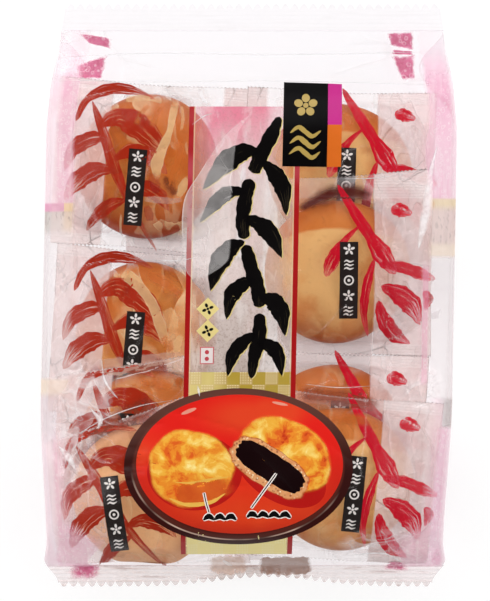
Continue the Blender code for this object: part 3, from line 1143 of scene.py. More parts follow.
# Its random ones: count, two corners of their box, ranges of length, depth and width, heading and scatter.
LOOSE_FOLDS = (
    (26, (-0.08, -0.1), (0.07, 0.08), (0.014, 0.05), (0.0002, 0.0005), (0.0008, 0.0016), 0.5, 1.6),
    (14, (-0.086, -0.1), (-0.072, 0.06), (0.012, 0.04), (0.0003, 0.0008), (0.0009, 0.0018), 1.57, 0.5),
    (14, (0.068, -0.1), (0.084, 0.06), (0.012, 0.04), (0.0003, 0.0008), (0.0009, 0.0018), 1.57, 0.5),
    (16, (-0.07, -0.108), (0.06, -0.104), (0.006, 0.016), (0.0003, 0.0008), (0.0007, 0.0012), 1.57, 0.5),
    (12, (-0.07, 0.074), (0.07, 0.094), (0.01, 0.022), (0.0003, 0.0006), (0.0008, 0.0014), 1.57, 0.6),
    (26, (-0.084, -0.078), (-0.052, -0.026), (0.008, 0.026), (0.0005, 0.0014), (0.0006, 0.0012), 0.9, 1.2),
    (10, (0.044, -0.108), (0.076, -0.094), (0.008, 0.02), (0.0004, 0.001), (0.0006, 0.0012), 0.4, 0.9),
)
FILM_SEED = 11


def film_folds():
    """The outer film's folds: across the header, up from the foot's corners, and slack ones between."""
    dice = np.random.default_rng(FILM_SEED)
    folds = list(LONG_FOLDS)
    for loose in LOOSE_FOLDS:
        folds += loose_folds(dice, *loose)
    return folds


def film_ring(y, folds):
    """One ring of the bag's film, as rows of x, y and z."""
    w, h, middle, opened = half_width(y), half_thickness(y), middle_height(y), swell(y)
    squared = ramp(0.35, 1.0, opened)
    x, z = rounded_box(w, h, END_SQUARENESS + (BODY_SQUARENESS - END_SQUARENESS) * squared)
    push = crease(y) * np.exp(-((z / (CREASE_SPREAD * h)) ** 2)) * (np.abs(x) > 0.9 * w)
    x = x - np.copysign(push, x)
    top = np.maximum(0.0, z / h)
    height = np.maximum(0.0, middle + z + opened * top**2 * pie_lift(x, y))
    x = x + lean(y)
    tangent_x, tangent_z = np.roll(x, -1) - np.roll(x, 1), np.roll(height, -1) - np.roll(height, 1)
    reach = np.hypot(tangent_x, tangent_z) + 1e-12
    x = x - FILM_INSET * tangent_z / reach
    height = height + FILM_INSET * tangent_x / reach
    height = height - fold_depth(x, y, folds) * top * min(1.0, opened * 1.6)
    return np.stack([x, np.full_like(x, y), height], axis=1)


def film_points():
    """All rings of the film between the end seals."""
    folds = film_folds()
    ease = np.linspace(0, 1, FILM_STATIONS)
    ease = ease - 0.55 * np.sin(2 * math.pi * ease) / (2 * math.pi)
    stations = BOTTOM_SEAL_Y + (TOP_SEAL_Y - BOTTOM_SEAL_Y) * ease
    rings = np.array([film_ring(y, folds) for y in stations])
    rings[..., 0] -= (rings[..., 0].min() + rings[..., 0].max()) / 2
    return rings


def outward(points):
    """Unit normals of a closed stack of rings."""
    around = np.roll(points, -1, axis=1) - np.roll(points, 1, axis=1)
    along = np.gradient(points, axis=0)
    normal = np.cross(along, around)
    return normal / (np.linalg.norm(normal, axis=2, keepdims=True) + 1e-12)


# ---------------------------------------------------------------- wrapped pies


def soft_least(a, b, blend):
    """The smaller of two heights, rounded where they meet."""
    h = np.clip(0.5 + 0.5 * (b - a) / blend, 0, 1)
    return b * (1 - h) + a * h - blend * h * (1 - h)


class Room:
    """The space inside the film, as heights over a grid: what is already packed lowers its ceiling."""

    STEP = 0.001
    BELOW_FILM = 0.0006
    OVER_FILM = 0.0005
    UNDER_PARCEL = 0.0004

    def __init__(self, film):
        self.x = np.arange(-0.092, 0.0921, self.STEP)
        self.y = np.arange(-0.126, 0.1261, self.STEP)
        x, y = np.meshgrid(self.x, self.y, indexing="ij")
        self.ceiling = film.heights(x, y, missing=0.01) - self.BELOW_FILM
        self.floor = film.heights(x, y, upwards=True, missing=0.008) + self.OVER_FILM

    def read(self, grid, x, y):
        """Heights between the grid's points."""
        i = np.clip((x - self.x[0]) / self.STEP, 0, len(self.x) - 1.001)
        j = np.clip((y - self.y[0]) / self.STEP, 0, len(self.y) - 1.001)
        i0, j0 = i.astype(int), j.astype(int)
        s, t = i - i0, j - j0
        low = grid[i0, j0] * (1 - s) + grid[i0 + 1, j0] * s
        high = grid[i0, j0 + 1] * (1 - s) + grid[i0 + 1, j0 + 1] * s
        return low * (1 - t) + high * t

    def pack(self, parcel):
        """Everything packed after this parcel stays under it."""
        x, y = np.meshgrid(self.x, self.y, indexing="ij")
        u, v = parcel.local(x, y)
        under = parcel.surfaces(u, v)[1] - self.UNDER_PARCEL
        inside = (np.abs(u) < parcel.half_length) & (np.abs(v) < parcel.half_breadth)
        self.ceiling = np.where(inside, np.minimum(self.ceiling, under), self.ceiling)


# A pie's dents: how many, then the limits of their middle's u and v, their reach and their depth.
DENT_COUNT = 7
DENT_LIMITS = ((-0.02, 0.02), (-0.02, 0.02), (0.006, 0.013), (0.0004, 0.0012))
# Where a wrapper's clear window has its middle, and how much longer than the rest a wrapper's upper end is.
WINDOW_MIDDLE = {"left": 0.0006, "right": -0.0023}
LONGER_BY = {"right_middle": 0.005}
# Folds that fan out from each end seal of a wrapper.
FAN_FOLDS = 16


class Parcel:
    """One pie in its pillow wrapper: where it lies, how it tilts, and its surfaces as heights."""

    SEAM = 0.0088
    FILM = 0.00008

    def __init__(self, name, column, x, y, rest, pitch, yaw, skew, seed, pie, look):
        self.name, self.column, self.x, self.y, self.rest = name, column, x, y, rest
        self.skew = skew
        self.slope = math.tan(math.radians(pitch))
        self.yaw = math.radians(yaw)
        self.pie, self.look = pie, look
        self.half_length = look.length / 2
        self.half_breadth = look.breadth / 2
        self.seal_at = self.half_breadth - look.end_seal
        self.dice = np.random.default_rng(seed)
        self.folds = self.wrapper_folds()
        self.dents = [[self.dice.uniform(*limits) for limits in DENT_LIMITS] for _ in range(DENT_COUNT)]
        self.lobes = self.dice.uniform(0, 2 * math.pi, 4)
        self.window_middle = WINDOW_MIDDLE[column]
        self.longer = LONGER_BY.get(name, 0.0)
        self.room = None

    def wrapper_folds(self):
        """Folds that fan out from the end seals, and a few across the window."""
        folds = []
        for side in (-1, 1):
            for _ in range(FAN_FOLDS):
                u = self.dice.uniform(-0.9, 0.9) * self.half_length
                reach = self.dice.uniform(0.008, 0.03)
                drift = -u * self.dice.uniform(0.1, 0.5) + self.dice.uniform(-0.005, 0.005)
                start = side * self.seal_at
                depth = self.dice.uniform(0.0005, 0.0016)
                width = self.dice.uniform(0.0007, 0.0014)
                folds.append((u, start, u + drift, start - side * reach, depth, width))
        half = self.look.window / 2
        low, high = (-half, -0.028), (half, 0.02)
        ranges = (0.012, 0.034), (0.0003, 0.001), (0.0007, 0.0013)
        return folds + loose_folds(self.dice, 9, low, high, *ranges, 1.2, 0.9)

    def place(self, u, v):
        """Wrapper coordinates to the bag's."""
        c, s = math.cos(self.yaw), math.sin(self.yaw)
        x, y = self.x + c * u - s * v, self.y + s * u + c * v
        y = soft_least(y, TOP_SEAL_Y - 0.006, 0.002)
        y = -soft_least(-y, -BOTTOM_SEAL_Y - 0.0022 + 0.0005 * np.sin(160 * x + self.lobes[1]), 0.0015)
        side = half_width(y) - 0.0045
        x = soft_least(x, side + lean(y), 0.003)
        return -soft_least(-x, side - lean(y), 0.003), y

    def local(self, x, y):
        """The bag's coordinates to the wrapper's."""
        c, s = math.cos(self.yaw), math.sin(self.yaw)
        return c * (x - self.x) + s * (y - self.y), -s * (x - self.x) + c * (y - self.y)

    def base(self, y):
        """Height of the plane that the pie's underside lies in."""
        return self.rest + self.slope * (y - self.y)

    def pie_underside(self, u, v):
        """Height of the pie's underside over its base: flat, and rounded up to the rim."""
        share_out = np.minimum(1.0, np.hypot(u, v) / self.pie.radius)
        return self.pie.rim * (1 - np.sqrt(np.maximum(0.0, 1 - share_out**7)))

    def pie_top(self, u, v, share_out):
        """Height of the crust over its base, rounded at the shoulder and dented here and there."""
        dome = (np.maximum(0.0, 1 - share_out**2.8)) ** 0.52
        angle = np.arctan2(v, u)
        swelling = 0.0005 * np.sin(2 * angle + self.lobes[0]) + 0.0004 * np.sin(3 * angle + self.lobes[1])
        dent = sum(
            depth * np.exp(-((u - middle_u) ** 2 + (v - middle_v) ** 2) / (reach * reach))
            for middle_u, middle_v, reach, depth in self.dents
        )
        return self.pie.rim + (self.pie.height - self.pie.rim + swelling * share_out - dent) * dome

    def surfaces(self, u, v):
        """Heights of the wrapper's top and underside."""
        x, y = self.place(u, v)
        rho = ((np.abs(u) / self.half_length) ** 3.0 + (np.abs(v) / self.seal_at) ** 3.0) ** (1 / 3.0)
        rho = np.minimum(1.0, rho)
        wave = 0.001 * np.sin(95 * u + 60 * v + self.lobes[2])
        wave = wave + 0.0008 * np.sin(140 * v - 50 * u + self.lobes[3])
        ends = ramp(0.55, 1.0, rho)
        seam = self.base(y) + self.SEAM + wave * ends
        pillow = (1 - rho**2.6) ** 0.58
        pinch = fold_depth(u, v, self.folds) * np.minimum(1.0, 3.5 * (1 - rho) + 0.12)
        top = seam + self.look.puff * pillow - pinch + self.FILM
        deep = (self.SEAM + 0.0003) * (1 - rho**6) ** 0.5
        under = np.minimum(seam - deep, self.base(y) + self.pie_underside(u, v) - 0.0003 + ends * 0.002)
        under = np.minimum(under + pinch * 0.5 * ends, seam) - self.FILM
        if self.room is not None:
            ceiling = self.room.read(self.room_ceiling, x, y)
            floor = self.room.read(self.room.floor, x, y)
            top = soft_least(top, ceiling - pinch * 0.4, 0.0015)
            under = np.maximum(np.minimum(under, top - 2 * self.FILM), floor)
            top = np.maximum(top, under + 2 * self.FILM)
        return top, under

    def settle(self, room):
        """Fit this parcel under what is already there, and keep the later ones under it."""
        self.room = room
        self.room_ceiling = room.ceiling.copy()
        room.pack(self)

    def outline(self, u, v):
        """The wrapper's edges draw in a little where it is puffed, and its ends are cut in teeth."""
        su, sv = u / self.half_length, v / self.half_breadth
        waist = 1 - 0.035 * np.cos(math.pi / 2 * su) ** 2
        belly = 1 - 0.012 * np.cos(math.pi / 2 * sv) ** 2
        tooth = 0.0005 * (np.abs(sv) > 0.999) * (np.arange(u.shape[0])[:, None] % 2)
        upper = np.maximum(0, sv) ** 2
        return u * belly, v * waist - np.sign(v) * tooth + (self.skew * u + self.longer) * upper


WRAPPER_GRID = (97, 109)
PIE_RINGS = 44
SOLE_RINGS = 14
PIE_SPOKES = 120


def wrapper_mesh(parcel, material):
    """The wrapper as one closed skin: a top and an underside that share their border."""
    rows, columns = WRAPPER_GRID
    at_u, at_v = shares(rows, columns)
    u, v = parcel.outline((2 * at_u - 1) * parcel.half_length, (2 * at_v - 1) * parcel.half_breadth)
    x, y = parcel.place(u, v)
    top, under = parcel.surfaces(u, v)
    upper = np.dstack([x, y, top]).reshape(-1, 3)
    lower = np.dstack([x, y, under]).reshape(-1, 3)
    at_end = np.abs(2 * at_v - 1)
    from_window = u - parcel.window_middle
    inward = from_window if parcel.column == "left" else -from_window
    from_window = np.where(inward > 0, from_window * 0.6, from_window)
    pattern = np.dstack([from_window, v, at_end]).reshape(-1, 3)
    border = np.zeros((rows, columns), bool)
    border[[0, -1], :] = True
    border[:, [0, -1]] = True
    border = border.reshape(-1)
    index = np.arange(rows * columns)
    lower_index = np.where(border, index, rows * columns + np.cumsum(~border) - 1)
    faces = grid_faces(rows, columns)
    faces = np.concatenate([faces[:, ::-1], lower_index[faces]])
    points = np.concatenate([upper, lower[~border]])
    pattern = np.concatenate([pattern, pattern[~border]])
    make_piece(f"wrapper_{parcel.name}", points, faces, material, pattern)


def pie_mesh(parcel, material):
    """The pie: a dome and an underside, fitted inside its wrapper."""
    spokes = PIE_SPOKES
    pie = parcel.pie
    angle = 2 * math.pi * np.arange(spokes) / spokes
    uneven = 1 + 0.014 * np.sin(2 * angle + parcel.lobes[0]) + 0.009 * np.sin(3 * angle + parcel.lobes[2])
    dome_at = np.sin(np.linspace(0.02, 1, PIE_RINGS) * math.pi / 2)
    under_at = np.sin(np.linspace(1, 0.05, SOLE_RINGS + 1)[1:] * math.pi / 2)

    def circle(at):
        reach = pie.radius * at[:, None] * uneven[None, :]
        return reach * np.cos(angle), reach * np.sin(angle)

    u, v = circle(dome_at)
    x, y = parcel.place(u, v)
    wrap_top, wrap_under = parcel.surfaces(u, v)
    crown = parcel.base(y) + parcel.pie_top(u, v, dome_at[:, None])
    crown = soft_least(crown, wrap_top - 0.0004, 0.0008)
    crown = np.maximum(crown, wrap_under + 0.0008)
    own = np.dstack([u / pie.radius, v / pie.radius, (crown - parcel.base(y)) / pie.height])
    lower_u, lower_v = circle(under_at)
    lower_x, lower_y = parcel.place(lower_u, lower_v)
    sole = parcel.base(lower_y) + pie.rim * (1 - np.sqrt(1 - under_at[:, None] ** 7)) + 0 * lower_u
    sole = np.maximum(sole, parcel.surfaces(lower_u, lower_v)[1] + 0.0003)
    lower_own = np.dstack([lower_u / pie.radius, lower_v / pie.radius, 0 * sole])
    points = np.concatenate([np.dstack([x, y, crown]), np.dstack([lower_x, lower_y, sole])]).reshape(-1, 3)
    own = np.concatenate([own, lower_own]).reshape(-1, 3)
    faces = grid_faces(PIE_RINGS + SOLE_RINGS, spokes, around=True)[:, ::-1].tolist()
    last = (PIE_RINGS + SOLE_RINGS - 1) * spokes
    faces.append(list(range(spokes)))
    faces.append(list(range(last + spokes - 1, last - 1, -1)))
    make_piece(f"pie_{parcel.name}", points, faces, material, own, casts=True)


# Brush motifs on the wrappers, in millimetres round the pie's middle: (x, y, half width).
LEAF_SPRAY = (
    ((-31, 16, 0.8), (-27, 26, 1.8), (-18, 31, 2.6), (-8, 31, 1.8), (1, 28, 0.4)),
    ((-25, 25, 0.7), (-19, 12, 2.0), (-14, 0, 2.4), (-8, -12, 1.8), (0, -25, 1.0), (7, -35, 0.4)),
    ((-22, 14, 0.9), (-13, 19, 4.2), (-2, 14, 5.2), (8, 5, 1.0)),
    ((-17, 10, 0.9), (-24, 9, 3.2), (-31, 4, 3.0), (-34, -5, 0.5)),
    ((-14, 1, 0.7), (-7, 5, 3.2), (2, 3, 3.6), (9, -3, 0.6)),
    ((-13, -3, 0.9), (-21, -4, 3.7), (-28, -9, 3.8), (-33, -17, 0.8)),
    ((-9, -11, 0.6), (-2, -9, 2.8), (6, -12, 3.2), (11, -18, 0.6)),
    ((-7, -15, 0.7), (-14, -18, 2.8), (-20, -24, 2.0), (-23, -29, 0.4)),
)
BEAN_SPRIG = (
    ((0, 36, 0.7), (6, 26, 2.1), (13, 15, 2.5), (19, 6, 3.9), (24, -1, 1.2)),
    ((22, 25, 1.2), (26, 25.5, 3.0), (31, 24, 0.9)),
    ((9, 19, 0.4), (3, 13, 1.4), (-2, 5, 3.0), (-5, -2, 1.2)),
    ((15, 5, 0.9), (12, -6, 1.9), (11, -17, 1.5), (13, -27, 0.4)),
    ((17, 3, 1.2), (26, 2, 2.3), (35, -1, 2.4), (41, -3, 0.8)),
    ((18, -6, 1.0), (25, -9, 3.8), (31, -14, 4.2), (35, -22, 0.8)),
    ((17, -12, 0.9), (19, -19, 2.9), (24, -26, 3.2), (31, -30, 0.6)),
    ((36, -8, 0.8), (38, -11, 2.2), (37, -16, 0.6)),
)

# The wrapped pies from the topmost down, in millimetres and degrees: name, column, crust, wrapper, x, y,
# height at rest, pitch, yaw, skew of the upper end, seed, and the label's middle.
PARCELS = (
    ("left_foot", "left", "pale", "thin", -43.3, -83.6, 15.2, 11.5, 7.8, 0.2, 21, (-13.0, -5.0)),
    ("left_low", "left", "golden", "smooth", -41.2, -61.7, 7.6, 12.0, -3.0, 0.24, 22, (-9.5, -3.5)),
    ("left_middle", "left", "golden", "creased", -43.4, -16.6, 1.0, 0.0, -4.6, 0.0, 23, (-4.2, -6.5)),
    ("left_head", "left", "dark", "creased", -42.7, 53.9, 1.0, 1.0, -5.0, 0.02, 24, (-3.8, -9.5)),
    ("right_foot", "right", "domed", "smooth", 37.6, -76.3, 16.2, 9.5, -5.6, 0.0, 25, (6.1, -5.1)),
    ("right_low", "right", "dark", "smooth", 34.1, -59.1, 1.0, 0.0, -3.0, 0.0, 26, (3.0, -0.5)),
    ("right_middle", "right", "domed", "smooth", 36.6, 9.6, 9.2, 15.0, 0.0, 0.06, 27, (4.6, -3.6)),
    ("right_head", "right", "domed", "smooth", 38.0, 50.7, 1.0, 0.0, -2.0, 0.0, 28, (2.5, -5.3)),
)
LABEL_WIDTH = 0.0076
LABEL_LENGTH = 0.0317
MARK_COUNT = 5
# One line of the strip's wave motif, in millimetres: (x, y, half width).
WAVE = ((-2.1, -0.25, 0.12), (-1.0, 0.35, 0.34), (0.4, -0.2, 0.36), (2.0, 0.3, 0.12))


def lie_on_wrapper(parcel, patches):
    """Patches in a wrapper's millimetres, moved to where the wrapper lies."""
    return [(np.dstack(parcel.place(flat[..., 0], flat[..., 1])), own) for flat, own in patches]


def label_patch(middle):
    """The dark strip, from its middle in millimetres."""
    cx, cy = middle[0] * MM, middle[1] * MM
    w, h = LABEL_WIDTH / 2, LABEL_LENGTH / 2
    return quad_patch([(cx - w, cy - h), (cx + w, cy - h), (cx + w, cy + h), (cx - w, cy + h)], 0.0008)


def label_marks(middle):
    """A column of small plain motifs on the strip: blossoms, waves and a ring with a dot."""
    cx, cy = middle
    marks = []
    pitch = LABEL_LENGTH / MM / MARK_COUNT
    for i in range(MARK_COUNT):
        y = cy + pitch * (MARK_COUNT // 2 - i)
        if i % 3 == 0:
            marks += blossom(cx, y, 5, 2.5, 0.52)
        elif i % 3 == 1:
            for rise in (1.5, 0.0, -1.5):
                wave = [(cx + along, y + rise + up, half) for along, up, half in WAVE]
                marks.append(stroke(wave, rise, along_step=0.5))
        else:
            marks.append(round_patch((cx, y), (2.1, 2.1), inner=0.7, step=0.0004))
            marks.append(round_patch((cx, y), (0.6, 0.6), step=0.0004))
    return marks


# Sheets over the pies: folds of wrapper, mostly painted light and shade on them, and painted shadows
# between them: tone, cover, then (x, y, half width) along each in millimetres.
SHEETS = (
    ("pale", 0.7, (
        (-30.4, 81.5, 1.9), (-32.0, 73.6, 1.5), (-32.9, 68.2, 1.3), (-35.8, 61.2, 2.1), (-38.3, 54.1, 2.5),
        (-37.9, 47.0, 0.8),
    )),
    ("pale", 0.4, ((-28.3, 79.5, 0.6), (-27.5, 73.6, 0.7), (-28.3, 67.8, 0.5))),
    ("pale", 0.45, ((-52.0, 81.1, 0.8), (-48.7, 82.0, 1.5), (-44.1, 82.4, 1.2), (-40.4, 81.5, 0.8))),
    ("amber", 0.55, ((-41.2, 79.5, 1.2), (-44.9, 75.7, 1.7), (-47.0, 70.3, 1.7))),
    ("amber", 0.5, ((-35.8, 79.5, 1.0), (-38.7, 75.3, 1.7), (-40.4, 69.5, 1.7))),
    ("amber", 0.7, ((-30.4, 65.3, 1.7), (-28.7, 58.2, 2.9), (-31.6, 49.9, 3.3), (-32.9, 43.7, 2.1))),
    ("brown", 0.7, ((-35.4, 49.5, 1.2), (-32.9, 45.3, 2.9), (-30.4, 41.2, 2.1))),
    ("rose", 0.45, ((-40.4, 51.2, 1.7), (-39.1, 46.2, 2.5), (-38.7, 41.6, 1.2))),
    ("haze", 0.4, ((-44.1, 39.9, 1.0), (-37.9, 39.5, 1.5), (-32.0, 39.1, 1.2), (-27.1, 39.9, 0.8))),
    ("pale", 0.55, ((-25.4, 49.5, 0.5), (-27.5, 44.9, 1.9), (-29.6, 39.9, 0.6))),
    ("rose", 0.5, ((-42.9, 37.4, 1.2), (-41.6, 33.7, 2.1), (-41.2, 30.4, 1.2))),
    ("pale", 0.6, (
        (-52.9, 9.5, 2.9), (-47.4, 5.4, 2.5), (-41.2, -2.1, 2.1), (-37.9, -9.6, 2.3), (-33.7, -22.9, 1.7),
    )),
    ("amber", 0.65, ((-42.9, 9.5, 2.1), (-37.9, 6.2, 3.7), (-32.0, 2.9, 3.3), (-27.9, -1.3, 2.1))),
    ("pale", 0.35, ((-34.5, -5.4, 2.1), (-32.5, -9.6, 2.9), (-31.6, -14.6, 2.1))),
    ("amber", 0.6, ((-35.8, -17.1, 2.1), (-33.7, -20.8, 3.3), (-32.0, -23.7, 2.1))),
    ("pale", 0.55, ((-27.9, -16.3, 0.8), (-29.6, -20.0, 1.7), (-30.0, -24.2, 1.2))),
    ("haze", 0.5, (
        (-63.3, -30.0, 3.7), (-54.5, -29.6, 3.7), (-45.4, -28.3, 3.3), (-37.0, -26.7, 2.7),
        (-26.2, -25.4, 1.7),
    )),
    ("sienna", 0.8, ((-51.2, -32.5, 0.8), (-44.9, -30.8, 2.5), (-39.5, -29.6, 3.7), (-32.9, -29.2, 4.6))),
    ("sienna", 0.8, (
        (-67.0, -58.7, 1.2), (-60.3, -55.0, 3.7), (-53.3, -51.6, 5.4), (-45.4, -48.3, 5.8),
        (-36.2, -44.1, 4.6),
    )),
    ("white", 0.5, (
        (-57.0, -35.0, 0.2), (-52.0, -34.1, 0.3), (-46.6, -32.5, 0.2), (-42.0, -31.6, 0.3),
        (-37.0, -29.6, 0.2), (-31.6, -27.9, 0.3), (-26.2, -25.8, 0.2),
    )),
    ("amber", 0.7, ((-45.4, -36.2, 1.2), (-37.9, -36.6, 2.9), (-31.2, -38.3, 1.7))),
    ("white", 0.7, ((-62.8, -46.6, 0.4), (-61.2, -51.2, 1.1), (-62.8, -56.2, 0.5))),
    ("white", 0.45, ((-80.3, -58.7, 1.2), (-75.3, -57.4, 2.1), (-69.5, -56.2, 2.5))),
    ("white", 0.45, ((-72.8, -35.4, 1.7), (-67.8, -36.6, 2.9), (-62.8, -35.0, 2.1))),
    ("amber", 0.55, ((39.1, 76.1, 1.2), (41.6, 73.6, 2.5), (43.7, 71.1, 1.7))),
    ("amber", 0.5, ((30.4, -51.2, 1.7), (39.9, -50.8, 2.9), (48.7, -52.0, 2.9), (53.7, -54.5, 1.7))),
)
# The shade where one pie dips under the next, in the same form.
SHADES = (
    ("brown", 1.0, (
        (20.0, 34.5, 1.7), (23.7, 36.8, 2.7), (28.7, 39.5, 4.2), (34.5, 41.8, 5.2), (40.4, 42.4, 5.4),
        (46.2, 41.8, 4.8), (52.0, 39.9, 3.3),
    )),
    ("sienna", 0.75, (
        (19.1, -40.4, 3.7), (26.2, -41.2, 4.6), (33.7, -42.1, 5.4), (41.2, -42.9, 5.4), (47.9, -44.1, 4.6),
        (54.5, -46.2, 2.5),
    )),
)
# The gathered film at the foot, in the same form.
GATHERS = (
    ("ash", 0.8, ((3.7, -112.8, 3.7), (9.6, -113.2, 4.4), (20.4, -113.2, 4.4), (26.6, -112.4, 3.7))),
    ("haze", 0.6, ((-17.1, -112.4, 3.3), (-11.2, -112.8, 4.6), (-5.4, -112.8, 4.6), (-0.4, -112.0, 3.3))),
    ("white", 0.55, ((-11.2, -110.3, 0.4), (-8.3, -112.8, 1.0), (-5.4, -116.1, 0.4))),
)


def wrapper_sheet(name, tint, rim, soft):
    """A sheet over the wrappers: a fold of film, mostly with painted light and shade, or a painted soft
    shadow, with a painted highlight along its edges; its pattern is (along, across, cover).
    """
    f = Finish(f"film sheet {name}")
    along, across, cover = f.pattern()
    ragged = (f.noise(260.0, 3.0) - 0.5) * 0.1
    inside = f.least(across, 1.0 - across) + ragged
    ends = f.step(0.0, 0.14, f.least(along, 1.0 - along) + ragged)
    # Painted highlight: a light line along the sheet's edges.
    line = f.fall(0.0, 0.1, inside) * ends * rim
    grain = f.noise(150.0, 4.0)
    return f.film(
        f.limit(cover * f.step(0.0, soft, inside) * ends * (0.7 + grain * 0.6) + line),
        Base_Color=f.mix(line, f.mix(grain, tuple(c * 0.86 for c in tint), tint), paint(252, 236, 214)),
        Roughness=0.4,
        Specular_IOR_Level=0.2,
        Normal=f.bump(grain, 0.0004),
    )


# Each tone of film sheet: colour, how bright its painted edge highlight is and how softly it begins. Pale
# and white tones are painted highlights, amber, brown and sienna ones painted shade.
SHEET_TONES = {
    "pale": ((238, 198, 142), 0.25, 0.06),
    "haze": ((218, 182, 162), 0.1, 0.1),
    "white": ((250, 243, 240), 0.2, 0.2),
    "amber": ((206, 108, 40), 0.0, 0.4),
    "brown": ((86, 20, 8), 0.0, 0.44),
    "rose": ((158, 38, 26), 0.0, 0.12),
    "ash": ((150, 108, 88), 0.05, 0.06),
    "sienna": ((140, 56, 32), 0.0, 0.4),
}


def lay_sheets(name, skin, rows):
    """Film sheets of every tone, laid on a skin; the name is their level too."""
    for tone, (tint, rim, soft) in SHEET_TONES.items():
        patches = [stroke(points, cover) for own, cover, points in rows if own == tone]
        if patches:
            material = wrapper_sheet(f"{name} {tone}", paint(*tint), rim, soft)
            lay_on(skin, f"{name}_{tone}", patches, LIFT[name], material)


def build_parcels(pie, look):
    """All wrapped pies, from the topmost down."""
    film = Skin("bag_film")
    room = Room(film)
    # Wrapper kinds: name, how strongly the painted light and shade of the creases shows in the window, and
    # how full the print is.
    kinds = (("smooth", 0.12, 1.0), ("creased", 0.75, 1.0), ("thin", 0.3, 0.55))
    wraps = {name: wrapper_film(look, name, milky, dense) for name, milky, dense in kinds}
    # Crusts: name, bake and rim; bake also sets how strong the painted shade is on the near side and low
    # down.
    bakes = (("pale", -0.55, 0.0), ("domed", -0.3, 1.0), ("golden", 0.25, 0.0), ("dark", 0.6, 0.0))
    crusts = {name: crust(pie, name, bake, rim) for name, bake, rim in bakes}
    strip_ink = printed("label strip", look.label, roughness=0.42, sheen=0.15)
    mark_ink = printed("label marks", look.label_marks, dark=0.9)
    leaf_ink = brushed_ink("leaf spray red", look.leaf_red, paint(214, 130, 100), 0.35, 0.6)
    sprig_ink = brushed_ink("bean sprig red", look.sprig_red, paint(226, 90, 116), 0.45, 0.6)
    reds = {"left": (LEAF_SPRAY, leaf_ink), "right": (BEAN_SPRIG, sprig_ink)}
    for name, column, bake, wrap, x, y, rest, pitch, yaw, skew, seed, label in PARCELS:
        parcel = Parcel(name, column, x * MM, y * MM, rest * MM, pitch, yaw, skew, seed, pie, look)
        parcel.settle(room)
        wrapper_mesh(parcel, wraps[wrap])
        pie_mesh(parcel, crusts[bake])
        skin = Skin(f"wrapper_{name}")
        strokes, red = reds[column]
        spray = lie_on_wrapper(parcel, [stroke(points, i) for i, points in enumerate(strokes)])
        seam = parcel.rest + parcel.SEAM
        lay_on(skin, f"motif_{name}", spray, LIFT["motif"], red, missing=seam)
        strip = lie_on_wrapper(parcel, [label_patch(label)])
        lay_on(skin, f"label_{name}", strip, LIFT["label"], strip_ink)
        marks = lie_on_wrapper(parcel, label_marks(label))
        lay_on(skin, f"label_marks_{name}", marks, LIFT["label_marks"], mark_ink)
    skin = Skin(*(f"wrapper_{row[0]}" for row in PARCELS))
    lay_sheets("shade", skin, SHADES)
    lay_sheets("fold", skin, SHEETS)


# ---------------------------------------------------------------- film, seals and gussets

# The foot's seal bows up in the middle.
ARCH_HEIGHT = 0.0042
ARCH_MIDDLE = 0.009
ARCH_REACH = 0.028
# The seals' skins: overlap with the film, rows and columns, half thickness, and rib height at each end.
SEAL_OVERLAP = 0.0006
SEAL_GRID = (18, 421)
SEAL_HALF = 0.00014
RIB_HEIGHT = {-1: 0.0003, 1: 0.00008}
# Columns of film points that the side print takes from the front and from the back.
GUSSET_FRONT = 12
GUSSET_BACK = 12
# The side print's pattern starts at this distance, as if the gusset's folded edge lay that far out.
GUSSET_START = 0.0022


def build_film(look):
    """The outer film from seal to seal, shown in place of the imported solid."""
    rings = film_points()
    faces = grid_faces(*rings.shape[:2], around=True)[:, ::-1]
    film = make_piece("bag_film", rings, faces, clear_film(look))
    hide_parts(BAG_NODE)


def zigzag(x):
    """The cut edge's rounded teeth: 0 at a root and 1 at a tip."""
    return np.abs(np.sin(math.pi * x / TOOTH_PITCH)) ** 0.85


def seal_skin(end):
    """Upper and lower points of an end seal; end is -1 at the foot and 1 at the header."""
    start = BOTTOM_SEAL_Y + SEAL_OVERLAP if end < 0 else TOP_SEAL_Y - SEAL_OVERLAP
    down, across = shares(*SEAL_GRID)
    side = 2 * across - 1
    bow = ARCH_HEIGHT * np.exp(-(((side * SEAL_WIDTH / 2 - ARCH_MIDDLE) / ARCH_REACH) ** 2)) * (end < 0)
    reach = LENGTH / 2 - TOOTH_DEPTH * (1 - zigzag(side * SEAL_WIDTH / 2)) - bow
    y = start + (end * reach - start) * down
    x = side * half_width(y) + lean(y)
    ripple = 0.0002 * np.sin(side * 55) + 0.00012 * np.sin(side * 131 + 4 * down)
    middle = middle_height(y) + bow * 0.35 * down + ripple * down
    half = SEAL_HALF + RIB_HEIGHT[end] * np.sin(math.pi * RIB_COUNT * down) ** 2
    return np.dstack([x, y, middle + half]), np.dstack([x, y, middle - half])


def build_seals(look):
    """Both end seals, each an upper and a lower skin."""
    skin = seal_film(look)
    for name, end in (("bottom_seal", -1), ("top_seal", 1)):
        upper, lower = seal_skin(end)
        rows, columns = upper.shape[:2]
        quads = grid_faces(rows, columns)
        if end < 0:
            quads = quads[:, ::-1]
        faces = np.concatenate([quads, quads[:, ::-1] + rows * columns])
        points = np.concatenate([upper.reshape(-1, 3), lower.reshape(-1, 3)])
        make_piece(name, points, faces, skin)


def gusset_columns(side):
    """Which points of a film ring the side print covers, from front to back."""
    if side > 0:
        return np.arange(FLANK_SEGMENTS + GUSSET_FRONT, -GUSSET_BACK, -1)
    first = FLANK_SEGMENTS + PANEL_SEGMENTS - GUSSET_FRONT
    return np.arange(first, first + FLANK_SEGMENTS + GUSSET_FRONT + GUSSET_BACK)


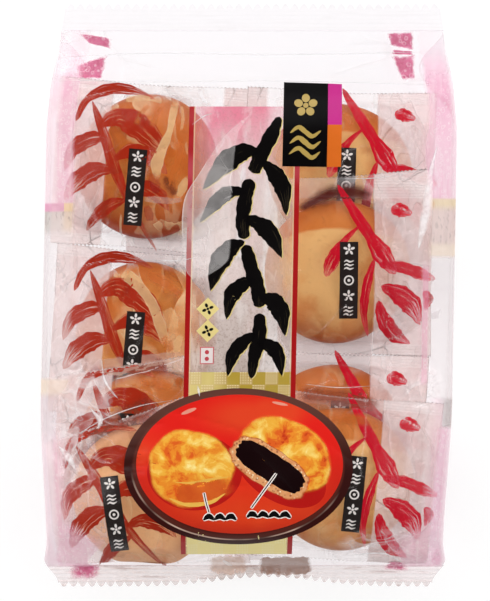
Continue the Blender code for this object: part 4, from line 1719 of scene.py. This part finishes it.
def build_gussets(look):
    """The pink fields printed down both sides; their pattern is the distance in from the bag's edge."""
    rings = film_points()
    normals = outward(rings)
    for name, side in (("gusset_print_left", -1), ("gusset_print_right", 1)):
        columns = gusset_columns(side)
        points = rings[:, columns] + LIFT["gusset"] * normals[:, columns]
        points[..., 2] = np.maximum(points[..., 2], 2 * GROUND_GAP)
        reach = (side * points[..., 0]).max(axis=1, keepdims=True)
        inward = reach - side * points[..., 0]
        pattern = np.dstack([inward + GUSSET_START, points[..., 1], np.full_like(inward, side)])
        faces = grid_faces(*points.shape[:2])
        make_piece(name, points, faces[:, ::-side], side_print(look, side), pattern)


# The print folded in at the header, and pressed into the foot's corners: four corners each, in millimetres.
HEADER_TUCKS = (
    ((-67.1, 105.5), (-57.2, 103.0), (-56.7, 107.9), (-73.1, 110.7)),
    ((-72.4, 90.5), (-62.0, 90.5), (-59.0, 101.5), (-73.6, 96.7)),
    ((-68.0, 87.9), (-63.0, 87.8), (-62.6, 89.8), (-72.0, 89.6)),
    ((58.9, 104.5), (69.3, 103.1), (69.3, 111.6), (57.7, 110.2)),
    ((64.3, 89.6), (69.9, 90.3), (69.9, 101.3), (59.6, 101.3)),
    ((59.8, 101.2), (69.2, 101.0), (69.2, 102.6), (59.3, 103.6)),
)
FOOT_TUCKS = (
    ((-76.5, -120.0), (-63.0, -120.4), (-61.0, -111.5), (-75.0, -111.0)),
    ((53.0, -115.6), (68.0, -116.2), (66.2, -112.0), (59.6, -110.0)),
)


def build_tucks(look):
    """The folded-in gussets, seen through the header and the foot."""
    material = tuck_print(look)
    header = [corner_patch(corners) for corners in HEADER_TUCKS]
    make_patches("header_tucks", header, lambda x, y: middle_height(y), material)
    skin = Skin("bag_film", "bottom_seal")
    foot = [corner_patch(corners) for corners in FOOT_TUCKS]
    lay_on(skin, "foot_tucks", foot, LIFT["foot_tuck"], material)
    lay_sheets("gather", skin, GATHERS)


# Painted glints of light along hard creases in the outer film, in millimetres on the bag: (x, y, half
# width) along each.
CREASE_GLINTS = (
    ((-60.8, -26.7, 0.2), (-59.5, -34.8, 0.8), (-56.1, -40.2, 0.7), (-53.9, -42.6, 0.1)),
    ((-65.4, -46.6, 0.2), (-61.5, -51.5, 1.6), (-62.0, -55.4, 0.2)),
    ((-78.6, -62.5, 0.3), (-74.6, -66.8, 2.2), (-71.5, -72.2, 0.4)),
    ((-70.4, -57.4, 0.1), (-59.5, -51.0, 0.45), (-44.7, -45.6, 0.3), (-30.0, -43.1, 0.1)),
    ((78.0, 62.0, 0.2), (75.2, 50.0, 1.6), (74.0, 38.0, 2.9), (71.6, 26.0, 2.1), (70.0, 19.0, 0.3)),
    ((-21.1, -37.2, 0.1), (-20.7, -39.2, 0.8), (-20.3, -41.7, 0.1)),
    ((-81.2, 89.8, 0.1), (-39.8, 88.8, 0.25), (9.4, 89.2, 0.2), (77.4, 87.6, 0.1)),
    ((-80.0, 99.5, 0.1), (-40.0, 101.5, 0.3), (10.0, 100.8, 0.35), (79.0, 102.0, 0.1)),
    ((40.9, -108.1, 0.1), (55.7, -107.3, 0.6), (64.6, -112.0, 0.1)),
    ((-23.6, 70.1, 0.1), (-19.1, 73.6, 0.3), (-15.2, 75.1, 0.1)),
    ((37.0, 47.8, 0.1), (53.8, 48.4, 0.3), (70.5, 51.3, 0.1)),
    ((-49.7, 15.0, 0.1), (-30.0, 14.1, 0.3), (-18.2, 16.5, 0.1)),
    ((23.2, -36.7, 0.1), (37.0, -38.1, 0.3), (52.8, -37.3, 0.1)),
)


def build_crease_glints():
    """The painted glints of light along the film's hard creases."""
    film = Skin("bag_film", "bottom_seal", "top_seal")
    creases = [stroke(points, i) for i, points in enumerate(CREASE_GLINTS)]
    lay_on(film, "film_creases", creases, LIFT["crease"], painted_crease_glint())


# ---------------------------------------------------------------- the front print

# The band of paper-like print, in millimetres before it leans.
BAND_LEFT, BAND_RIGHT = -25.4, 19.8
BAND_HEAD, BAND_FOOT = 81.5, -109.2
BORDER_WIDTH = 2.1
CREAM_WIDTH = 0.55
LINE_STEP = 0.0007
STRAW_HEIGHT = 15.5
CHECK_HEAD, CHECK_FOOT = -31.3, -46.0
CHECK_SIDE = 0.0054

# The brush ornament: a bamboo spray, as (x, y, half width) along each stroke.
BAMBOO = (
    ((12, 77, 1.2), (9, 70, 2.9), (4, 60, 3.1), (1, 53, 2.6)),
    ((0, 50.5, 2.5), (-2, 42, 3.0), (-3, 33, 2.9), (-2, 25, 2.4)),
    ((-1.6, 22.5, 2.4), (1, 13, 3.0), (4, 4, 3.1), (5, -4, 2.5)),
    ((5, -6.5, 2.4), (5, -16, 2.9), (3, -25, 2.6), (2, -34, 1.1)),
    ((4, 62, 0.9), (-3, 62, 3.5), (-11, 57, 4.3), (-20, 46, 0.5)),
    ((5, 58, 0.9), (10, 53, 3.3), (14, 46, 3.4), (15.5, 35, 0.4)),
    ((-1, 45, 0.7), (-8, 45, 2.6), (-14, 41, 3.1), (-21, 32, 0.4)),
    ((-3, 34, 0.9), (3, 32, 2.9), (9, 27, 3.8), (14, 17, 0.4)),
    ((-2, 24, 0.9), (-8, 21, 3.6), (-13, 14, 3.9), (-16, 3, 0.4)),
    ((3, 8, 0.7), (-2, 6, 2.8), (-7, 1, 3.3), (-9, -9, 0.4)),
    ((5, 0, 0.9), (10, -1, 3.5), (14, -6, 3.7), (16, -16, 0.4)),
    ((4, -15, 0.7), (-1, -18, 2.6), (-6, -24, 2.8), (-8, -33, 0.4)),
    ((4, -19, 0.9), (9, -20, 2.8), (13, -24, 3.0), (15, -33, 0.4)),
)
# The slack fold of film over the band, in millimetres of the upright print: its free and its inner edge.
VEIL = (
    ((2.5, 79.8), (-9.7, 68.9), (-20.3, 53.2), (-27.0, 41.4), (-27.9, 24.5), (-26.2, 11.8), (-22.0, 7.2)),
    ((2.9, 79.6), (-3.8, 70.6), (-5.9, 56.2), (-6.8, 40.1), (-7.2, 20.3), (-10.1, 13.9), (-21.6, 6.8)),
)
VEIL_GRID = (90, 26)
# The gold outline: how much wider than the stroke it is, and how far it is shifted from under it.
OUTLINE = 0.02
OUTLINE_SHIFT = (0.4, -0.24)

PANEL = ((13.4, 55.8), (32.3, 55.5), (32.5, 91.8), (13.6, 92.4))
MAGENTA_FLAG = ((32.3, 73.6), (38.4, 73.6), (38.4, 91.5), (32.5, 91.8))
ORANGE_FLAG = ((32.3, 55.5), (38.3, 55.6), (38.4, 73.6), (32.3, 73.6))
CREST_WAVES = (
    ((16.5, 70, 0.3), (20, 72.5, 0.9), (23, 70.5, 1.0), (26, 68.6, 0.9), (29.6, 71, 0.3)),
    ((16.3, 65.5, 0.3), (20, 68, 0.9), (23, 66, 1.1), (26, 64, 0.9), (29.6, 66.5, 0.3)),
    ((16.1, 61, 0.3), (20, 63.5, 0.9), (23, 61.5, 1.0), (26, 59.5, 0.9), (29.4, 62, 0.3)),
)

DIAMONDS = ((-16.9, -4.6), (-16.8, -13.9))
DIAMOND_HALF = 4.8
STAMP = (-16.9, -24.3)
STAMP_HALF = (2.9, 3.6)
STAMP_EDGE = 0.35

DISH = (-4.06, -71.3)
DISH_AXES = (48.3, 33.2)
DISH_INSIDE = (-3.6, -70.2)
DISH_INSIDE_AXES = (43.6, 29.4)
# The halved pie and its shadow lie at this angle.
HALF_TURN = math.radians(-33)
# The whole pie's lower folds, and the lines that lead from the pies to the small leaf rows.
PICTURED_FOLDS = (
    ((-31.0, -77.6, 0.1), (-24, -77.9, 0.4), (-15, -76.4, 0.45), (-7.5, -75.4, 0.1)),
    ((-33.5, -84.2, 0.2), (-26, -87.0, 0.8), (-16, -86.2, 0.8), (-9.5, -82.4, 0.2)),
)
PICTURED_SIDE = ((-31.5, -82.0, 3.2), (-24, -82.4, 4.6), (-14, -80.6, 4.6), (-4.5, -79.0, 3.2))
KEY_LINES = (
    ((-18.6, -82.0, 0.22), (-17.6, -86.5, 0.22), (-16.4, -90.5, 0.22)),
    ((11.9, -74.0, 0.22), (6.6, -81.4, 0.22), (1.3, -88.8, 0.22)),
)
# Each leaf row's start and count, and the spacing of its leaves.
KEY_ROWS = ((-18.9, -93.6, 3), (-0.6, -92.6, 4))
KEY_PITCH = 4.6


def corner_patch(corners, step=0.001):
    """A four-sided patch from corners in millimetres."""
    return quad_patch([(x * MM, y * MM) for x, y in corners], step)


def box_patch(left, right, low, high, step=0.001):
    """A rectangle in millimetres of the printed design."""
    return corner_patch([(left, low), (right, low), (right, high), (left, high)], step)


def round_patch(centre, axes, **more):
    """An elliptic disc or ring, from a centre and half axes in millimetres."""
    return ring_patch([c * MM for c in centre], [a * MM for a in axes], **more)


def upright(patches):
    """Patches that don't lean with the band, at the print's scale."""
    return [(flat * PRINT_SCALE + np.array(PRINT_SHIFT), own) for flat, own in patches]


def print_on(film, name, patches, level, material):
    """Patches of the printed design, laid on the film at one of its levels."""
    lay_on(film, name, lean_patches(patches), LIFT[level], material)


def blossom(x, y, petals, reach, petal):
    """Petals round a middle; petal is half the breadth of each."""
    found = [round_patch((x, y), (reach * 0.22, reach * 0.22))]
    for i in range(petals):
        angle = 2 * math.pi * (i + 0.25) / petals
        away = reach * 0.62
        centre = (x + away * math.cos(angle), y + away * math.sin(angle))
        found.append(round_patch(centre, (reach * 0.36, petal), turn=angle, step=0.0006))
    return found


def build_band(inks):
    """The band, its borders and fine lines, and the two gold fields on it."""
    film = Skin("bag_film")
    flat, own = box_patch(BAND_LEFT, BAND_RIGHT, BAND_FOOT, BAND_HEAD)
    own = np.dstack([own[..., 0], flat[..., 1], 0 * own[..., 0]])
    print_on(film, "washi_band", [(flat, own)], "band", washi_band(inks))
    half = BORDER_WIDTH / 2
    left, right = BAND_LEFT + half, BAND_RIGHT - half

    def line(start, end):
        return box_patch(start, end, BAND_FOOT, BAND_HEAD, LINE_STEP)

    borders = [line(x - half, x + half) for x in (BAND_LEFT, BAND_RIGHT)]
    print_on(film, "band_borders", borders, "outline", border_print(inks))
    lines = [line(left, left + CREAM_WIDTH), line(right - CREAM_WIDTH, right)]
    print_on(film, "band_cream_lines", lines, "field", printed("cream line", inks.cream, cover=0.6))
    for name, low, high, pale in (
        ("checked_field", CHECK_FOOT, CHECK_HEAD, 0.0),
        ("straw_field", BAND_FOOT, BAND_FOOT + STRAW_HEIGHT, 1.0),
    ):
        flat, _ = box_patch(left, right, low, high)
        own = np.dstack([flat[..., 0] - left * MM, high * MM - flat[..., 1], 0 * flat[..., 0]])
        print_on(film, name, [(flat, own)], "field", checked_gold(inks, name.replace("_", " "), pale))


def build_ornament(inks):
    """The brushed bamboo, its gold outline, and the slack fold of film over it."""
    film = Skin("bag_film")
    gold = printed("gold outline", paint(222, 200, 130), dark=0.85)
    ink = brushed_ink("brushed ink", inks.ink, paint(34, 28, 26), 0.92, 0.68)
    outline = [stroke(points, i, widen=OUTLINE, shift=OUTLINE_SHIFT) for i, points in enumerate(BAMBOO)]
    print_on(film, "ornament_outline", outline, "outline", gold)
    print_on(film, "ornament_ink", [stroke(points, i) for i, points in enumerate(BAMBOO)], "ink", ink)
    rows, columns = VEIL_GRID
    free, inner = (through(line, rows)[:, None] * MM for line in VEIL)
    at, over = shares(rows, columns)
    flat = free * (1 - over[..., None]) + inner * over[..., None]
    veil = upright([(flat, np.dstack([at, over, 0 * at]))])
    lay_on(film, "film_veil", veil, LIFT["veil"], film_veil())


def build_panel(inks):
    """The dark title panel with a gold blossom and waves, and the two flags beside it."""
    film = Skin("bag_film")
    black = printed("panel black", inks.ink, sheen=0.0, shine=0.06)
    print_on(film, "title_panel", [corner_patch(PANEL)], "ink", black)
    for name, corners in (("magenta", MAGENTA_FLAG), ("orange", ORANGE_FLAG)):
        ink = printed(f"flag {name}", getattr(inks, name))
        print_on(film, f"{name}_flag", [corner_patch(corners)], "field", ink)
    gold = printed("leaf gold", inks.leaf_gold, dark=0.7, roughness=0.3, sheen=0.35)
    crest = blossom(23.0, 82.0, 5, 5.2, 1.7) + [stroke(points, i) for i, points in enumerate(CREST_WAVES)]
    print_on(film, "panel_crest", crest, "top", gold)


def build_marks(inks):
    """Two straw diamonds and a small white stamp, with plain motifs."""
    film = Skin("bag_film")
    h = DIAMOND_HALF
    diamonds = [corner_patch([(x, y - h), (x + h, y), (x, y + h), (x - h, y)], 0.0008) for x, y in DIAMONDS]
    print_on(film, "diamonds", diamonds, "ink", printed("diamond straw", inks.straw, dark=0.92))
    petals = [patch for x, y in DIAMONDS for patch in blossom(x, y, 4, 2.6, 0.62)]
    print_on(film, "diamond_petals", petals, "top", printed("petal ink", inks.ink))
    x, y = STAMP
    w, h = STAMP_HALF
    for name, inset, level, material in (
        ("stamp_edge", 0.0, "ink", printed("stamp red", (0.6, 0.08, 0.1))),
        ("stamp", STAMP_EDGE, "top", printed("stamp white", paint(240, 226, 222))),
    ):
        sides = x - w + inset, x + w - inset, y - h + inset, y + h - inset
        print_on(film, name, [box_patch(*sides, 0.0006)], level, material)
    dots = [round_patch((x, y + rise), (0.9, 0.9), step=0.0004) for rise in (1.4, -1.4)]
    print_on(film, "stamp_dots", dots, "dot", printed("stamp dots", paint(196, 70, 80)))


def build_dish(inks):
    """The pictured red dish with a whole pie and a halved one."""
    film = Skin("bag_film")
    layer = 0

    def lay(name, patches, material):
        nonlocal layer
        layer += 1
        lay_on(film, name, upright(patches), DISH_LIFT + layer * DISH_STEP, material)

    def disc(centre, axes, **more):
        return round_patch(centre, axes, step=0.0008, **more)

    share_in = DISH_INSIDE_AXES[0] / DISH_AXES[0] - 0.06
    lay("dish_rim", [disc(DISH, DISH_AXES, inner=share_in)], dish_edge(inks))
    lay("dish_inside", [disc(DISH_INSIDE, DISH_INSIDE_AXES)], dish_inside(inks))
    shadows = [disc((-22.5, -73.5), (20.0, 16.0)), disc((13.5, -72.5), (21.5, 13.0), turn=HALF_TURN)]
    lay("dish_shadows", shadows, printed("pictured shade", paint(190, 24, 20), dark=0.85))
    whole = disc(
        (-24.2, -71.8), (18.4, 16.6), turn=-0.1,
        uneven=lambda a: 0.03 * np.sin(3 * a + 1) + 0.02 * np.sin(7 * a),
    )
    dome = disc(
        (15.6, -66.2), (21.0, 15.2), turn=HALF_TURN,
        uneven=lambda a: 0.03 * np.sin(2 * a) + 0.02 * np.sin(5 * a + 2),
    )
    crumb = disc(
        (9.0, -71.6), (19.6, 8.9), turn=HALF_TURN,
        uneven=lambda a: 0.02 * np.sin(13 * a) - 0.05 * np.cos(4 * a),
    )
    paste = disc(
        (9.3, -71.1), (17.0, 6.1), turn=HALF_TURN,
        uneven=lambda a: 0.02 * np.sin(17 * a) - 0.07 * np.cos(4 * a),
    )
    lay("pictured_whole", [whole], pictured_crust("whole", 0.0))
    lay("pictured_side", [stroke(PICTURED_SIDE, 2)], pictured_side())
    folds = [stroke(points, i) for i, points in enumerate(PICTURED_FOLDS)]
    lay("pictured_folds", folds, printed("pictured fold", paint(244, 190, 84), dark=0.85, scale=260.0))
    lay("pictured_half", [dome], pictured_crust("half", -0.035))
    lay("pictured_cut", [crumb], pictured_crumb())
    lay("pictured_filling", [paste], printed("pictured filling", inks.filling, dark=0.5, shine=0.06))
    shines = [
        round_patch((-25.0, -47.8), (3.4, 0.8), turn=0.38),
        round_patch((13.5, -44.6), (3.4, 0.6), turn=-0.2),
    ]
    lay("dish_shines", shines, printed("pictured shine", paint(248, 196, 170), dark=0.9, cover=0.6))
    leaves = []
    for row_x, y, count in KEY_ROWS:
        for x in (row_x + KEY_PITCH * k for k in range(count)):
            leaves.append(((x, y, 0.3), (x + 2.4, y + 1.5, 1.2), (x + 4.9, y - 0.1, 0.3)))
    keys = [*KEY_LINES, *leaves]
    edges = [stroke(points, i, widen=0.45) for i, points in enumerate(keys)]
    lay("key_edges", edges, printed("key edge white", paint(248, 238, 230), dark=0.96))
    dark = [stroke(points, i) for i, points in enumerate(keys)]
    lay("key_leaves", dark, printed("key ink", inks.ink, sheen=0.05))


def build_back(look):
    """The back's lengthwise seam and its plain printed fields."""
    film = Skin("bag_film")

    def lay_under(name, boxes, lift, material):
        def height(x, y):
            return np.maximum(GROUND_GAP, film.heights(x, y, upwards=True) - lift)

        patches = [
            quad_patch([(left, low), (right, low), (right, high), (left, high)], 0.002)
            for left, right, low, high in boxes
        ]
        make_patches(name, patches, height, material).data.flip_normals()

    lay_under("back_seam", [(-0.006, 0.006, -0.112, 0.086)], LIFT["back_seam"], seal_film(look))
    plain = printed("back field", paint(250, 243, 242), dark=0.96)
    fields = [(-0.052, -0.012, -0.09, 0.06), (0.012, 0.052, -0.09, 0.06)]
    lay_under("back_fields", fields, LIFT["back_field"], plain)


# ---------------------------------------------------------------- studio

CAMERA_SHIFT = (-0.00167, -0.00231)
FLOOR_HALF = 1.6
# The camera stands over this height of the bag, and the lights aim at it.
VIEW_MIDDLE = 0.02
LIGHT_BOUNCES = 4
DIFFUSE_BOUNCES = 2
FILM_LAYERS = 64


def softbox(name, place, sides, watts):
    """A rectangular light that aims at the bag's middle."""
    lamp = bpy.data.lights.new(name, "AREA")
    lamp.shape = "RECTANGLE"
    lamp.size, lamp.size_y = sides
    lamp.energy = watts
    piece = bpy.data.objects.new(name, lamp)
    piece.location = place
    piece.rotation_euler = (Vector((0, 0, VIEW_MIDDLE)) - Vector(place)).to_track_quat("-Z", "Y").to_euler()
    bpy.context.scene.collection.objects.link(piece)


def studio_sky():
    """A white surround that darkens overhead, so that flat film mirrors little and steep film shines."""
    world = bpy.data.worlds.new("studio")
    world.use_nodes = True
    nodes, links = world.node_tree.nodes, world.node_tree.links
    up = nodes.new("ShaderNodeSeparateXYZ")
    links.new(nodes.new("ShaderNodeTexCoord").outputs["Generated"], up.inputs[0])
    fade = nodes.new("ShaderNodeMapRange")
    for name, value in {"From Min": 0.45, "From Max": 0.95, "To Min": 0.56, "To Max": 0.12}.items():
        fade.inputs[name].default_value = value
    links.new(up.outputs["Z"], fade.inputs["Value"])
    links.new(fade.outputs["Result"], nodes["Background"].inputs["Strength"])
    nodes["Background"].inputs["Color"].default_value = (1, 1, 1, 1)
    return world


def build_studio(studio):
    """White floor, soft lights at the sides, and a camera straight above."""
    scene = bpy.context.scene
    scene.view_settings.view_transform = "Standard"
    scene.cycles.transparent_max_bounces = FILM_LAYERS
    scene.cycles.max_bounces = LIGHT_BOUNCES
    scene.cycles.diffuse_bounces = DIFFUSE_BOUNCES
    scene.world = studio_sky()
    f = Finish("studio floor")
    finish = f.solid(
        Base_Color=(0.38, 0.38, 0.38),
        Roughness=0.9,
        Specular_IOR_Level=0.1,
        Emission_Color=(1.0, 1.0, 1.0),
        Emission_Strength=studio.floor_glow,
    )
    mesh = bpy.data.meshes.new("studio_floor")
    mesh.from_pydata([(x, y, -0.0004) for x, y in ((-1, -1), (1, -1), (1, 1), (-1, 1))], [], [(0, 1, 2, 3)])
    mesh.transform(Matrix.Diagonal((FLOOR_HALF, FLOOR_HALF, 1, 1)))
    mesh.materials.append(finish)
    floor = bpy.data.objects.new("studio_floor", mesh)
    scene.collection.objects.link(floor)
    softbox("key", (-0.75, 0.15, 0.6), (0.7, 0.9), studio.key_power)
    softbox("fill", (0.75, 0.05, 0.6), (0.7, 0.9), studio.fill_power)
    softbox("back", (0.0, 0.85, 0.55), (0.9, 0.5), studio.back_power)
    eye = bpy.data.cameras.new("camera")
    eye.lens = studio.lens
    eye.sensor_fit = "VERTICAL"
    eye.sensor_height = 36.0
    eye.dof.use_dof = False
    camera = bpy.data.objects.new("camera", eye)
    away = studio.view_height * studio.lens / eye.sensor_height
    camera.location = (*CAMERA_SHIFT, VIEW_MIDDLE + away)
    scene.collection.objects.link(camera)
    scene.camera = camera


# ---------------------------------------------------------------- operators


class BAG_OT_film(bpy.types.Operator):
    """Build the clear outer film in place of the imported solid"""

    bl_idname = "bag.film"
    bl_label = "Clear film"

    def execute(self, context):
        build_film(context.scene.bag_film)
        return {"FINISHED"}


class BAG_OT_seals(bpy.types.Operator):
    """Build the two crimped end seals"""

    bl_idname = "bag.seals"
    bl_label = "End seals"

    def execute(self, context):
        build_seals(context.scene.bag_film)
        return {"FINISHED"}


class BAG_OT_gussets(bpy.types.Operator):
    """Build the printed side gussets, their tucked ends and the painted glints along the film's hard
    creases
    """

    bl_idname = "bag.gussets"
    bl_label = "Gusset prints"

    def execute(self, context):
        build_gussets(context.scene.bag_film)
        build_tucks(context.scene.bag_film)
        build_crease_glints()
        return {"FINISHED"}


class BAG_OT_pies(bpy.types.Operator):
    """Build the eight pies in their printed wrappers"""

    bl_idname = "bag.pies"
    bl_label = "Wrapped pies"

    def execute(self, context):
        build_parcels(context.scene.bag_pie, context.scene.bag_wrapper)
        return {"FINISHED"}


class BAG_OT_band(bpy.types.Operator):
    """Build the printed band down the front"""

    bl_idname = "bag.band"
    bl_label = "Front band"

    def execute(self, context):
        build_band(context.scene.bag_print)
        return {"FINISHED"}


class BAG_OT_ornament(bpy.types.Operator):
    """Build the brushed ornament on the band"""

    bl_idname = "bag.ornament"
    bl_label = "Brush ornament"

    def execute(self, context):
        build_ornament(context.scene.bag_print)
        return {"FINISHED"}


class BAG_OT_panel(bpy.types.Operator):
    """Build the dark title panel and its two flags"""

    bl_idname = "bag.panel"
    bl_label = "Title panel"

    def execute(self, context):
        build_panel(context.scene.bag_print)
        return {"FINISHED"}


class BAG_OT_marks(bpy.types.Operator):
    """Build the diamonds and the small stamp"""

    bl_idname = "bag.marks"
    bl_label = "Small marks"

    def execute(self, context):
        build_marks(context.scene.bag_print)
        return {"FINISHED"}


class BAG_OT_dish(bpy.types.Operator):
    """Build the pictured dish of pies"""

    bl_idname = "bag.dish"
    bl_label = "Pictured dish"

    def execute(self, context):
        build_dish(context.scene.bag_print)
        return {"FINISHED"}


class BAG_OT_back(bpy.types.Operator):
    """Build the seam and plain print on the back"""

    bl_idname = "bag.back"
    bl_label = "Back"

    def execute(self, context):
        build_back(context.scene.bag_film)
        return {"FINISHED"}


class BAG_OT_studio(bpy.types.Operator):
    """Build the floor, the lights and the camera"""

    bl_idname = "bag.studio"
    bl_label = "Studio"

    def execute(self, context):
        build_studio(context.scene.bag_studio)
        return {"FINISHED"}


STEPS = (
    BAG_OT_film, BAG_OT_seals, BAG_OT_gussets, BAG_OT_pies, BAG_OT_band, BAG_OT_ornament,
    BAG_OT_panel, BAG_OT_marks, BAG_OT_dish, BAG_OT_back, BAG_OT_studio,
)


class BAG_PT_steps(bpy.types.Panel):
    """The steps, in the order they are run"""

    bl_label = "Pie Bag"
    bl_space_type = "VIEW_3D"
    bl_region_type = "UI"
    bl_category = "Pie Bag"

    def draw(self, context):
        for step in STEPS:
            self.layout.operator(step.bl_idname)


def register():
    for made in (*SETTINGS.values(), *STEPS, BAG_PT_steps):
        bpy.utils.register_class(made)
    for name, settings in SETTINGS.items():
        setattr(bpy.types.Scene, name, PointerProperty(type=settings))


def unregister():
    for name in SETTINGS:
        delattr(bpy.types.Scene, name)
    for made in reversed((*SETTINGS.values(), *STEPS, BAG_PT_steps)):
        bpy.utils.unregister_class(made)


def main():
    register()
    for step in STEPS:
        group, name = step.bl_idname.split(".")
        getattr(getattr(bpy.ops, group), name)()


if __name__ == "__main__":
    main()
